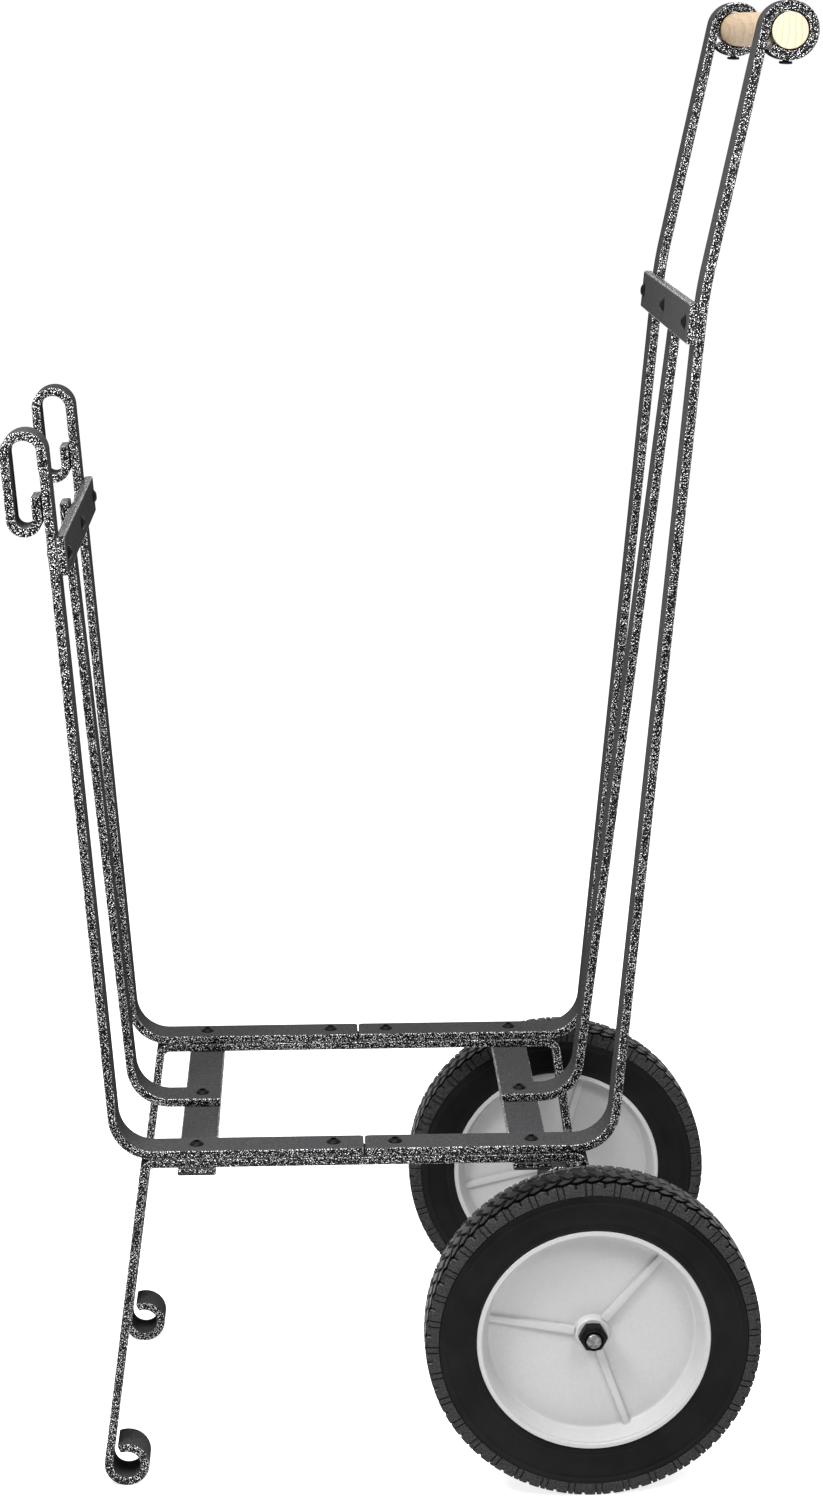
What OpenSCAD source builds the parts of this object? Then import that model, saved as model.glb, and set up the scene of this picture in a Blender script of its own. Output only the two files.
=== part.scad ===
// Fireside log cart: a two-wheeled carrier of bent flat bar for firewood.
// Each side is a front upright, a rear upright and a leg bar, screwed together
// on two cross bars. Two slats and two straps close the front and the back.
//
// The tray is drawn in its own frame: X runs along the rails from the butt joint
// of the uprights towards the wheels, Z rises from the tops of the rails and Y
// crosses the cart. The tray is then tipped and lifted until both feet and both
// tyres stand on Z = 0, and centred in X.

/* [Flat bar] */
// Width of every flat bar
bar_w = 29; // [26:0.5:32]
// Thickness of every flat bar
bar_t = 6.8; // [6:0.1:7.5]
// Radius of the rounded long edges of the bar
edge_r = 1.4; // [0.5:0.1:2]

/* [Tray] */
// Width of the frame over the outer faces of the rails
frame_w = 290; // [260:5:340]
// Gap between the ends of the front and rear uprights in a rail
butt_gap = 1; // [0.5:0.5:3]
// Radius of the rounded corners of a rail end, seen from above
rail_end_r = 3.5; // [1:0.5:5]
// Distance from the butt joint to the middle of each cross bar
cross_bar_x = 126.5; // [120:0.5:130]
// Distance from the butt joint to the screw beside it
joint_screw_x = 23.2; // [18:0.1:30]
// Centre line radius where a rail turns up into an upright
upright_bend_r = 31; // [26:0.5:36]
// Distance from the butt joint to each upright's corner point
upright_corner_x = 186.7; // [180:0.1:195]

/* [Front upright] */
// Lean of the front uprights away from the logs, in degrees
front_lean = 4.1; // [2:0.1:6]
// Height of the hook's top above the rails
hook_top = 542.5; // [500:0.5:600]
// Centre line radius of the hook's top bend
hook_top_r = 13.5; // [12:0.5:15]
// Straight run between the hook's two bends
hook_side = 46; // [40:0.5:60]
// Centre line radius of the hook's lower bend
hook_end_r = 9.5; // [9:0.5:10]
// Straight tip of the hook
hook_tip = 15.5; // [10:0.5:25]

/* [Rear upright] */
// Lean of the rear uprights away from the logs, in degrees
rear_lean = 5.16; // [4:0.02:7]
// Lean of the handle end of the rear uprights, in degrees
handle_lean = 12; // [10:0.5:14]
// Height of the gentle bend above the rails
handle_bend_z = 634.7; // [600:1:660]
// Centre line radius of the gentle bend
handle_bend_r = 300; // [200:10:400]
// Height of the handle's axis above the rails
handle_z = 816; // [780:1:850]
// Centre line radius of the ring round the handle
handle_ring_r = 17; // [16.5:0.1:18]
// Angle that the handle ring turns through, in degrees
handle_ring_turn = 306; // [280:1:310]

/* [Slats and straps] */
// Distance from the butt joint to the front slat's corner point
front_slat_x = 180; // [172:0.5:182]
// Distance from the butt joint to the rear slat's corner point
rear_slat_x = 170.3; // [165:0.1:178]
// Height of the front strap's middle above the rails
front_strap_z = 452.8; // [420:1:470]
// Height of the rear strap's middle above the rails
rear_strap_z = 613.9; // [580:1:620]
// Height of the front slat's top above the rails
front_slat_top = 470.3; // [460:1:480]
// Height of the rear slat's top above the rails
rear_slat_top = 622.3; // [615:1:630]

/* [Legs] */
// Distance from the butt joint to each leg's corner point
leg_corner_x = 165; // [160:0.5:170]
// Centre line radius of the sharp bend at the top of a leg
leg_bend_r = 8.3; // [7.5:0.1:12]
// Lean of the front legs, in degrees
front_leg_lean = 7.9; // [6:0.1:10]
// Lean of the rear legs, in degrees
rear_leg_lean = 8.5; // [7:0.1:10]
// Centre line radius of the curls at the feet and round the axle
curl_r = 14; // [13.5:0.1:16]
// Angle that a curl turns through, in degrees
curl_turn = 302; // [280:1:305]
// Depth of the foot curl's centre below the tops of the rails
foot_drop = 256.3; // [240:1:270]
// Depth of the axle below the tops of the rails
axle_drop = 138.9; // [130:1:150]

/* [Wheels] */
// Outside radius of a tyre
tyre_r = 127; // [120:1:130]
// Width of a tyre
tyre_w = 40; // [36:1:44]
// Radius of the hub's rim, where the tyre begins
rim_r = 88; // [84:1:92]
// Width of the hub's rim
rim_w = 36.6; // [32:0.2:38]
// Distance from the middle of the cart to the middle of a wheel
wheel_y = 172.5; // [170:0.5:180]
// Thickness of the hub's disc
hub_disc_t = 4; // [3:0.5:6]
// Radius of the hub's boss at its ends
boss_r = 12.5; // [12:0.5:14]
// Distance that the boss stands out beyond the wheel's middle
boss_out = 6.6; // [4:0.2:9]
// Radius of the axle
axle_r = 6; // [5:0.1:6.5]
// Distance from the middle of the cart to each end of the axle
axle_end_y = 192.5; // [192:0.5:195]
// Width of the axle nut across its flats
nut_af = 19; // [18:0.5:21]

/* [Handle] */
// Radius of the wooden handle
handle_r = 12.7; // [12:0.1:13]

/* [Screws] */
// Radius of a frame screw's shank
screw_r = 3; // [2.5:0.1:3.5]
// Radius of a frame screw's button head
head_r = 5.35; // [5:0.05:6]
// Height of a frame screw's button head
head_h = 3.2; // [2.5:0.1:4]

/* [Hidden] */
$fn = 48;

// Clearances and small details
over = 1;               // how far a cut runs past a face, or a rib into what carries it
bend_swell = 0.03;      // how much a bend stands proud of the straight runs
bend_entry = 0.5;       // how far a straight run enters a bend
fit = 0.05;             // radial play of a screw or the axle in its hole
seat_play = 0.1;        // play between faces that only rest on each other
wheel_play = 0.4;       // end play of a wheel between washer and nut
slat_offset = 0.3;      // gap between a slat and its strap
screw_tail = 1.5;       // length of a strap screw beyond the bars
head_rim_h = 0.6;       // height of a frame screw head's upright edge
socket_r = 2.3;         // hexagon socket, over its corners
socket_depth = 1.8;
washer_t = 2;
washer_r = 12;
nut_h = 8;              // height of a nut's hexagon
nut_collar_h = 3.5;     // round collar on the outer end of a nut
nut_collar_r = 8.4;
nut_collar_edge = 1.2;
nut_turned_h = 1.2;     // turned chamfer on the outer face of a nut's hexagon
nut_turned_w = 2.1;
axle_tip = 0.8;         // length of the chamfer on the axle's ends
boss_root_r = 14.2;     // radius of the boss where it meets the disc
rib_h = 3;              // height of the hub's ribs above its disc
rib_root_w = 7.5;
rib_tip_w = 5.5;
ribs = 3;
near_rib_angle = 50;    // first rib of the left wheel, up from the way to the back
far_rib_angle = 74;     // first rib of the right wheel, seen from the same side
rim_lip = 3.5;          // width of the rim's flat edge
rim_draft = 5.5;        // taper of the recess wall from its lip to the disc
tread_half = 18.8;      // half the width of the tyre's tread
tyre_crown_r = 180;     // radius of the tread across the tyre
// Side of the tyre: height above the rim, and how far it lies inside the full width
tyre_side = [[0, 1.7], [3, 1.4], [8, 0.5], [14, 0], [25, 0], [28, 0.3], [33, 0.4]];
tread_edge_drop = 0.8;  // how far the tread's edge lies inside the tyre's radius
handle_screw_r = 2.25;
handle_screw_angle = 268;
handle_screw_start = 5; // distance from the handle's axis to the end of a screw hole
handle_neck = 0.6;      // bare shank between ring and screw head
handle_head_r = 4.75;
handle_head_h = 2.2;
handle_chamfer = 0.8;
cross_end_r = 3;        // radius of the cross bars' lower end corners

// Rows and levels
side_y = (frame_w - bar_w) / 2;
upper_z = -bar_t / 2;
middle_z = -1.5 * bar_t;
lower_z = -2.5 * bar_t;
curl_out_r = curl_r + bar_t / 2;
hub_root_r = rim_r - rim_lip - rim_draft;
slat_start_x = cross_bar_x - bar_w / 2;
strap_screw_depth = 2 * bar_t + screw_tail;
// Radius of a screw head's dome
head_dome_h = head_h - head_rim_h;
head_dome_r = (head_r * head_r + head_dome_h * head_dome_h) / (2 * head_dome_h);

// Stack along the axle: frame, washer, boss and nut, as distances from the middle
washer_y = frame_w / 2 + seat_play;
boss_in_y = washer_y + washer_t + wheel_play;
boss_out_y = wheel_y + boss_out;
nut_y = boss_out_y + wheel_play;

// Centre line of an upright at a height above the rails, as a distance from the joint
function upright_x(lean, z) = upright_corner_x + tan(lean) * (z - upper_z);
front_strap_x = upright_x(front_lean, front_strap_z);
rear_strap_x = upright_x(rear_lean, rear_strap_z);
front_slat_lean = atan((front_strap_x + slat_offset - front_slat_x) / (front_strap_z - middle_z));
rear_slat_lean = atan((rear_strap_x + slat_offset - rear_slat_x) / (rear_strap_z - middle_z));

// Length that a bend takes from the straight run on each side of its corner point
function setback(turn, radius) = radius * tan(abs(turn) / 2);

// Centres of the hook's top bend and of the handle ring
hook_out_r = hook_top_r + bar_t / 2;
hook_c_z = hook_top - hook_out_r;
hook_start_z = hook_c_z + hook_top_r * sin(front_lean);
hook_c_x = upright_x(front_lean, hook_start_z) + hook_top_r * cos(front_lean);
handle_bend_x = upright_x(rear_lean, handle_bend_z);
ring_start_z = handle_z + handle_ring_r * sin(handle_lean);
ring_start_x = handle_bend_x + tan(handle_lean) * (ring_start_z - handle_bend_z);
handle_x = ring_start_x + handle_ring_r * cos(handle_lean);
ring_out_r = handle_ring_r + bar_t / 2;

// Centres of the foot curl and of the axle
function curl_start_z(drop, lean) = -drop + curl_r * sin(lean);
function curl_x(drop, lean) =
    leg_corner_x + tan(lean) * (middle_z - curl_start_z(drop, lean)) - curl_r * cos(lean);
foot_x = curl_x(foot_drop, front_leg_lean);
axle_x = curl_x(axle_drop, rear_leg_lean);

// Tip of the tray that brings the feet and the tyres to one level
base_run = foot_x + axle_x;
base_rise = foot_drop - axle_drop;
tray_tip = atan2(base_rise, base_run) - asin((tyre_r - curl_out_r) / norm([base_run, base_rise]));
function tipped(x, z) = [x * cos(tray_tip) + z * sin(tray_tip), z * cos(tray_tip) - x * sin(tray_tip)];
axle_tipped = tipped(axle_x, -axle_drop);
lift = tyre_r - axle_tipped[1];
reach_back = tipped(handle_x, handle_z)[0] + ring_out_r;
reach_front = tipped(-hook_c_x, hook_c_z)[0] - hook_out_r;
centre_shift = -(reach_back + reach_front) / 2;
wheel_x = axle_tipped[0] + centre_shift;

// Paths of the bars: each step is a straight run, then a turn at a radius
front_turn = 90 - front_lean;
front_set = setback(front_turn, upright_bend_r);
front_path = [
    [upright_corner_x - butt_gap / 2 - front_set, -front_turn, upright_bend_r],
    [(hook_start_z - upper_z) / cos(front_lean) - front_set, 180, hook_top_r],
    [hook_side, 180, hook_end_r],
    [hook_tip, 0, 0]
];
rear_turn = 90 - rear_lean;
rear_set = setback(rear_turn, upright_bend_r);
gentle_turn = handle_lean - rear_lean;
gentle_set = setback(gentle_turn, handle_bend_r);
rear_path = [
    [upright_corner_x - butt_gap / 2 - rear_set, rear_turn, upright_bend_r],
    [(handle_bend_z - upper_z) / cos(rear_lean) - rear_set - gentle_set, -gentle_turn, handle_bend_r],
    [(ring_start_z - handle_bend_z) / cos(handle_lean) - gentle_set, -handle_ring_turn, handle_ring_r]
];
function slat_path(corner_x, lean, top) = [
    [corner_x - slat_start_x - setback(90 - lean, upright_bend_r), 90 - lean, upright_bend_r],
    [(top - middle_z) / cos(lean) - setback(90 - lean, upright_bend_r), 0, 0]
];
function leg_path(rail_run, lean, drop) = [
    [rail_run, 90 - lean, leg_bend_r],
    [(middle_z - curl_start_z(drop, lean)) / cos(lean) - setback(90 - lean, leg_bend_r),
        curl_turn, curl_r]
];
rear_leg_start_x = leg_corner_x - setback(90 - rear_leg_lean, leg_bend_r);
front_leg_path = leg_path(
    rear_leg_start_x + leg_corner_x - setback(90 - front_leg_lean, leg_bend_r),
    front_leg_lean, foot_drop);
rear_leg_path = mirrored(leg_path(0, rear_leg_lean, axle_drop));
// The same path turning the other way
function mirrored(path) = [for (step = path) [step[0], -step[1], step[2]]];

// Colours
bar_colour = [0.26, 0.26, 0.27];
screw_colour = [0.08, 0.08, 0.09];
hub_colour = [0.74, 0.74, 0.74];
tyre_colour = [0.12, 0.12, 0.12];
wood_colour = [0.88, 0.76, 0.58];
axle_colour = [0.7, 0.7, 0.7];

// ---- Bars ----

// Section of the bar: thickness in X, width in Y, long edges rounded
module bar_section(swell = 0) {
    corner_r = edge_r + swell;
    square([bar_t - 2 * edge_r, bar_w + 2 * swell], center = true);
    square([bar_t + 2 * swell, bar_w - 2 * edge_r], center = true);
    for (side_x = [-1, 1], side_z = [-1, 1])
        translate([side_x * (bar_t / 2 - edge_r), side_z * (bar_w / 2 - edge_r)])
            circle(r = corner_r, $fn = 24);
}

// A straight run along X
module bar_run(run) {
    rotate([90, 0, 90])
        linear_extrude(run)
            bar_section();
}

// A bend that starts at the origin along X and turns left, or right if turn is negative
module bar_bend(turn, radius) {
    side = sign(turn);
    translate([0, side * radius, 0])
        rotate([0, 0, side > 0 ? -90 : 90 + turn])
            rotate_extrude(angle = abs(turn), $fn = 72)
                translate([radius, 0])
                    bar_section(bend_swell);
}

// The whole path in the XY plane, with the bar's width along Z. A run enters the bends
// at its ends a little; lead is how far the first run starts before the path does.
module bar_walk(path, lead = 0, i = 0) {
    run = path[i][0];
    turn = path[i][1];
    radius = path[i][2];
    before = i == 0 ? lead : bend_entry;
    if (run > 0)
        translate([-before, 0, 0])
            bar_run(before + run + (turn == 0 ? 0 : bend_entry));
    if (turn != 0)
        translate([run, 0, 0])
            bar_bend(turn, radius);
    if (i + 1 < len(path))
        translate([run, sign(turn) * radius, 0])
            rotate([0, 0, turn])
                translate([0, -sign(turn) * radius, 0])
                    bar_walk(path, lead, i + 1);
}

// A path stood up in the XZ plane from a start point, heading forwards or backwards
module bent_bar(x, y, z, heading, path, lead = 0) {
    translate([x, y, z])
        rotate([90, 0, 0])
            rotate([0, 0, heading])
                bar_walk(path, lead);
}

// A straight bar across the cart, lying flat, centred at the origin
module cross_piece() {
    translate([0, frame_w / 2, 0])
        rotate([0, 0, -90])
            rotate([90, 0, 0])
                bar_run(frame_w);
}

// What is cut away to round the two corners of a rail end at X = 0, bar towards +X
module rail_end_corners() {
    for (side = [-1, 1])
        translate([0, side * (bar_w / 2 - rail_end_r), -bar_t])
            linear_extrude(2 * bar_t)
                difference() {
                    translate([-over, side > 0 ? 0 : -rail_end_r - over])
                        square(rail_end_r + over);
                    translate([rail_end_r, 0])
                        circle(r = rail_end_r);
                }
}

// ---- Places ----

// The tray's frame, tipped and lifted onto its feet and tyres
module on_tray() {
    translate([centre_shift, 0, lift])
        rotate([0, tray_tip, 0])
            children();
}

// The middle of a strap: +X towards the logs, +Z along the upright
module at_front_strap() {
    translate([-front_strap_x, 0, front_strap_z])
        rotate([0, -front_lean, 0])
            children();
}

module at_rear_strap() {
    translate([rear_strap_x, 0, rear_strap_z])
        rotate([0, rear_lean, 0])
            mirror([1, 0, 0])
                children();
}

module at_handle() {
    translate([handle_x, 0, handle_z])
        children();
}

// The axle line, with Y along it
module at_axle() {
    translate([wheel_x, 0, tyre_r])
        children();
}

// ---- Screws and holes ----

// A plain hole downwards from Z = 0
module screw_hole(depth) {
    translate([0, 0, -depth - over])
        cylinder(r = screw_r + fit, h = depth + 2 * over);
}

// A button head screw with a hexagon socket, its head standing on Z = 0
module button_screw(depth) {
    color(screw_colour)
        difference() {
            union() {
                translate([0, 0, -depth])
                    cylinder(r = screw_r, h = depth + head_rim_h);
                rotate_extrude()
                    intersection() {
                        square([head_r, head_h]);
                        translate([0, head_h - head_dome_r])
                            circle(r = head_dome_r, $fn = 96);
                    }
            }
            translate([0, 0, head_h - socket_depth])
                cylinder(r = socket_r, h = socket_depth + over, $fn = 6);
        }
}

// The places of the rail screws on one side of the cart
module at_rail_points(distance) {
    for (end = [-1, 1])
        translate([end * distance, 0, 0])
            children();
}

// Screw direction in a strap: the head is on the log side
module at_strap_screw(y) {
    translate([1.5 * bar_t, y, 0])
        rotate([0, 90, 0])
            children();
}

// ---- Sub-parts ----

module front_upright(side) {
    color(bar_colour)
        on_tray()
            difference() {
                bent_bar(-butt_gap / 2, side * side_y, upper_z, 180, front_path);
                translate([-butt_gap / 2, side * side_y, upper_z])
                    mirror([1, 0, 0])
                        rail_end_corners();
                for (x = [cross_bar_x, joint_screw_x])
                    translate([-x, side * side_y, 0])
                        screw_hole(bar_t);
                at_front_strap()
                    at_strap_screw(side * side_y)
                        screw_hole(2 * bar_t);
            }
}

module rear_upright(side) {
    color(bar_colour)
        on_tray()
            difference() {
                bent_bar(butt_gap / 2, side * side_y, upper_z, 0, rear_path);
                translate([butt_gap / 2, side * side_y, upper_z])
                    rail_end_corners();
                for (x = [cross_bar_x, joint_screw_x])
                    translate([x, side * side_y, 0])
                        screw_hole(bar_t);
                at_rear_strap()
                    at_strap_screw(side * side_y)
                        screw_hole(2 * bar_t);
                at_handle()
                    translate([0, side * side_y, 0])
                        handle_screw_hole();
            }
}

module front_middle_slat() {
    color(bar_colour)
        on_tray()
            difference() {
                bent_bar(-slat_start_x, 0, middle_z, 180,
                    mirrored(slat_path(front_slat_x, front_slat_lean, front_slat_top)));
                translate([-cross_bar_x, 0, -bar_t])
                    screw_hole(bar_t);
                at_front_strap()
                    at_strap_screw(0)
                        screw_hole(2 * bar_t);
            }
}

module rear_middle_slat() {
    color(bar_colour)
        on_tray()
            difference() {
                bent_bar(slat_start_x, 0, middle_z, 0,
                    slat_path(rear_slat_x, rear_slat_lean, rear_slat_top));
                translate([cross_bar_x, 0, -bar_t])
                    screw_hole(bar_t);
                at_rear_strap()
                    at_strap_screw(0)
                        screw_hole(2 * bar_t);
            }
}

// A strap on the log side of three bars
module strap() {
    color(bar_colour)
        difference() {
            translate([bar_t, 0, 0])
                rotate([0, 90, 0])
                    cross_piece();
            for (y = [-side_y, 0, side_y])
                at_strap_screw(y)
                    screw_hole(bar_t);
        }
}

module front_strap() {
    on_tray()
        at_front_strap()
            strap();
}

module rear_strap() {
    on_tray()
        at_rear_strap()
            strap();
}

// One length of bar: foot curl, front leg, lower rail, rear leg and axle curl
module leg_bar(side) {
    color(bar_colour)
        on_tray()
            difference() {
                union() {
                    bent_bar(rear_leg_start_x, side * side_y, middle_z, 180, front_leg_path, bend_entry);
                    bent_bar(rear_leg_start_x, side * side_y, middle_z, 0, rear_leg_path);
                }
                for (x = [-cross_bar_x, -joint_screw_x, joint_screw_x, cross_bar_x])
                    translate([x, side * side_y, -bar_t])
                        screw_hole(bar_t);
            }
}

// A cross bar under the rails, its lower end corners rounded
module cross_bar(end) {
    color(bar_colour)
        on_tray()
            translate([end * cross_bar_x, 0, lower_z])
                difference() {
                    cross_piece();
                    for (side = [-1, 1])
                        translate([-bar_w, side * (frame_w / 2 - cross_end_r), cross_end_r - bar_t / 2])
                            rotate([90, 0, 90])
                                linear_extrude(2 * bar_w)
                                    difference() {
                                        translate([side > 0 ? 0 : -cross_end_r - over,
                                                -cross_end_r - over])
                                            square(cross_end_r + over);
                                        circle(r = cross_end_r);
                                    }
                    for (y = [-side_y, 0, side_y])
                        translate([0, y, bar_t / 2])
                            screw_hole(bar_t);
                }
}

module axle() {
    color(axle_colour)
        at_axle()
            rotate([90, 0, 0])
                union() {
                    cylinder(r = axle_r, h = 2 * (axle_end_y - axle_tip), center = true);
                    for (end = [0, 1])
                        mirror([0, 0, end])
                            translate([0, 0, axle_end_y - axle_tip])
                                cylinder(r1 = axle_r, r2 = axle_r - axle_tip, h = axle_tip);
                }
}

// A sleeve round the axle from one distance to another, on both sides of the cart
module axle_rings(from_y, to_y, outer_r) {
    for (side = [0, 1])
        mirror([0, side, 0])
            translate([0, to_y, 0])
                rotate([90, 0, 0])
                    difference() {
                        cylinder(r = outer_r, h = to_y - from_y);
                        translate([0, 0, -over])
                            cylinder(r = axle_r + fit, h = to_y - from_y + 2 * over);
                    }
}

// Sleeves that fill the rear curls round the axle
module axle_bushes() {
    color(screw_colour)
        at_axle()
            axle_rings(frame_w / 2 - bar_w, frame_w / 2, curl_r - bar_t / 2 - fit);
}

module axle_washers() {
    color(axle_colour)
        at_axle()
            axle_rings(washer_y, washer_y + washer_t, washer_r);
}

// The hexagon of a nut, with a turned chamfer on its outer face
module nut_hexagon() {
    corner_r = nut_af / sqrt(3);
    flat_h = nut_h - nut_turned_h;
    intersection() {
        cylinder(r = corner_r, h = nut_h, $fn = 6);
        union() {
            cylinder(r = corner_r + over, h = flat_h);
            translate([0, 0, flat_h])
                cylinder(r1 = corner_r, r2 = corner_r - nut_turned_w, h = nut_turned_h);
        }
    }
}

// The round collar beyond a nut's hexagon, which holds its locking ring
module nut_collar() {
    straight_h = nut_collar_h - nut_collar_edge;
    translate([0, 0, nut_h - over])
        cylinder(r = nut_collar_r, h = over + straight_h);
    translate([0, 0, nut_h + straight_h])
        cylinder(r1 = nut_collar_r, r2 = nut_collar_r - nut_collar_edge, h = nut_collar_edge);
}

// Locking nuts on both ends of the axle
module axle_nuts() {
    color(screw_colour)
        at_axle()
            for (side = [0, 1])
                mirror([0, side, 0])
                    translate([0, nut_y, 0])
                        rotate([-90, 0, 0])
                            difference() {
                                union() {
                                    nut_hexagon();
                                    nut_collar();
                                }
                                translate([0, 0, -over])
                                    cylinder(r = axle_r + fit, h = nut_h + nut_collar_h + 2 * over);
                            }
}

// ---- Wheel, with its middle plane at Z = 0 and its outer face towards +Z ----

// Half of the rim's section: outer seat, flat lip and tapered recess wall
module rim_section() {
    half_w = rim_w / 2;
    polygon([
        [hub_root_r, -hub_disc_t / 2],
        [rim_r - rim_lip, -half_w],
        [rim_r, -half_w],
        [rim_r, half_w],
        [rim_r - rim_lip, half_w],
        [hub_root_r, hub_disc_t / 2]
    ]);
}

module wheel_rim_shape() {
    rotate_extrude($fn = 96)
        rim_section();
}

// Half of the boss's section, tapering from the disc to both ends
module boss_section() {
    polygon([
        [0, boss_in_y - wheel_y],
        [boss_r, boss_in_y - wheel_y],
        [boss_root_r, -hub_disc_t / 2],
        [boss_root_r, hub_disc_t / 2],
        [boss_r, boss_out_y - wheel_y],
        [0, boss_out_y - wheel_y]
    ]);
}

// The boss before it is bored
module boss_blank() {
    rotate_extrude($fn = 96)
        boss_section();
}

module wheel_boss_shape() {
    difference() {
        boss_blank();
        cylinder(r = axle_r + fit, h = 2 * rim_w, center = true);
    }
}

// Ribs on both faces of the disc, drawn into the boss and the rim
module hub_ribs(first_angle) {
    rib_start = boss_r - over;
    rib_end = rim_r - rim_lip;
    for (k = [0 : ribs - 1])
        rotate([0, 0, -first_angle - 360 / ribs * k])
            linear_extrude(hub_disc_t + 2 * rib_h, center = true)
                polygon([
                    [rib_start, -rib_root_w / 2],
                    [rib_end, -rib_tip_w / 2],
                    [rib_end, rib_tip_w / 2],
                    [rib_start, rib_root_w / 2]
                ]);
}

// The disc and its ribs, cut to meet the boss and the rim face to face
module wheel_disc_shape(first_angle) {
    difference() {
        union() {
            cylinder(r = hub_root_r, h = hub_disc_t, center = true, $fn = 96);
            hub_ribs(first_angle);
        }
        wheel_rim_shape();
        boss_blank();
    }
}

// Section of the tyre: bead, bulged wall, ridge, sloping shoulder and round crown
module tyre_section() {
    half_w = tyre_w / 2;
    intersection() {
        translate([tyre_r - tyre_crown_r, 0])
            circle(r = tyre_crown_r, $fn = 144);
        for (side = [0, 1])
            mirror([0, side])
                polygon(concat(
                    [[rim_r, 0]],
                    [for (point = tyre_side) [rim_r + point[0], half_w - point[1]]],
                    [
                        [tyre_r - tread_edge_drop, tread_half],
                        [tyre_r + over, tread_half - over],
                        [tyre_r + over, 0]
                    ]
                ));
    }
}

module tyre_shape() {
    rotate_extrude($fn = 144)
        tyre_section();
}

// Places a wheel's pieces on the left (-1) or the right (1) end of the axle
module at_wheel(side) {
    at_axle()
        mirror([0, side < 0 ? 1 : 0, 0])
            translate([0, wheel_y, 0])
                rotate([-90, 0, 0])
                    children();
}

module wheel_rim(side) {
    color(hub_colour)
        at_wheel(side)
            wheel_rim_shape();
}

module wheel_disc(side) {
    color(hub_colour)
        at_wheel(side)
            wheel_disc_shape(side < 0 ? near_rib_angle : far_rib_angle);
}

module wheel_boss(side) {
    color(hub_colour)
        at_wheel(side)
            wheel_boss_shape();
}

module tyre(side) {
    color(tyre_colour)
        at_wheel(side)
            tyre_shape();
}

// ---- Handle ----

// A handle screw's axis, pointing out of the underside of the ring
module at_handle_screw() {
    rotate([0, 90 - handle_screw_angle, 0])
        children();
}

module handle_screw_hole() {
    at_handle_screw()
        translate([0, 0, handle_screw_start])
            cylinder(r = handle_screw_r + fit, h = ring_out_r);
}

module handle_dowel() {
    color(wood_colour)
        on_tray()
            at_handle()
                difference() {
                    rotate([90, 0, 0]) {
                        cylinder(r = handle_r, h = frame_w - 2 * handle_chamfer, center = true);
                        for (end = [0, 1])
                            mirror([0, 0, end])
                                translate([0, 0, frame_w / 2 - handle_chamfer])
                                    cylinder(
                                        r1 = handle_r,
                                        r2 = handle_r - handle_chamfer,
                                        h = handle_chamfer
                                    );
                    }
                    for (y = [-side_y, side_y])
                        translate([0, y, 0])
                            handle_screw_hole();
                }
}

// Pan head screws up into the dowel, with a bare neck below the ring
module handle_screws() {
    head_start = ring_out_r + handle_neck;
    color(screw_colour)
        on_tray()
            at_handle()
                for (y = [-side_y, side_y])
                    translate([0, y, 0])
                        at_handle_screw() {
                            translate([0, 0, handle_screw_start + fit])
                                cylinder(r = handle_screw_r, h = head_start - handle_screw_start);
                            translate([0, 0, head_start])
                                cylinder(r = handle_head_r, h = handle_head_h);
                        }
}

// ---- Frame screws ----

module rail_screws(distance, depth) {
    on_tray()
        for (y = [-side_y, side_y])
            at_rail_points(distance)
                translate([0, y, 0])
                    button_screw(depth);
}

module slat_screws() {
    on_tray()
        at_rail_points(cross_bar_x)
            translate([0, 0, -bar_t])
                button_screw(2 * bar_t);
}

module strap_screws() {
    for (y = [-side_y, 0, side_y])
        at_strap_screw(y)
            button_screw(strap_screw_depth);
}

module front_strap_screws() {
    on_tray()
        at_front_strap()
            strap_screws();
}

module rear_strap_screws() {
    on_tray()
        at_rear_strap()
            strap_screws();
}

front_upright(-1);  // front_upright_left
front_upright(1);  // front_upright_right
rear_upright(-1);  // rear_upright_left
rear_upright(1);  // rear_upright_right
front_middle_slat();
rear_middle_slat();
front_strap();
rear_strap();
leg_bar(-1);  // leg_bar_left
leg_bar(1);  // leg_bar_right
cross_bar(-1);  // front_cross_bar
cross_bar(1);  // rear_cross_bar
axle();
axle_bushes();
axle_washers();
axle_nuts();
wheel_rim(-1);  // wheel_rim_left
wheel_rim(1);  // wheel_rim_right
wheel_disc(-1);  // wheel_disc_left
wheel_disc(1);  // wheel_disc_right
wheel_boss(-1);  // wheel_boss_left
wheel_boss(1);  // wheel_boss_right
tyre(-1);  // tyre_left
tyre(1);  // tyre_right
handle_dowel();
handle_screws();
rail_screws(cross_bar_x, 3 * bar_t);  // rail_screws_long
rail_screws(joint_screw_x, 2 * bar_t);  // rail_screws_short
slat_screws();
front_strap_screws();
rear_strap_screws();
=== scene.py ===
"""Fireside log cart: the looks of a two-wheeled firewood carrier of bent flat bar.

Every shape is a surface worked out with numpy from the cart's real sizes in millimetres.
The tray is drawn in its own frame, with X along the rails and Z = 0 at their tops, and then
tipped onto its feet and tyres.
"""

from math import asin, atan, atan2, cos, hypot, pi, radians, sin, tan

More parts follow.
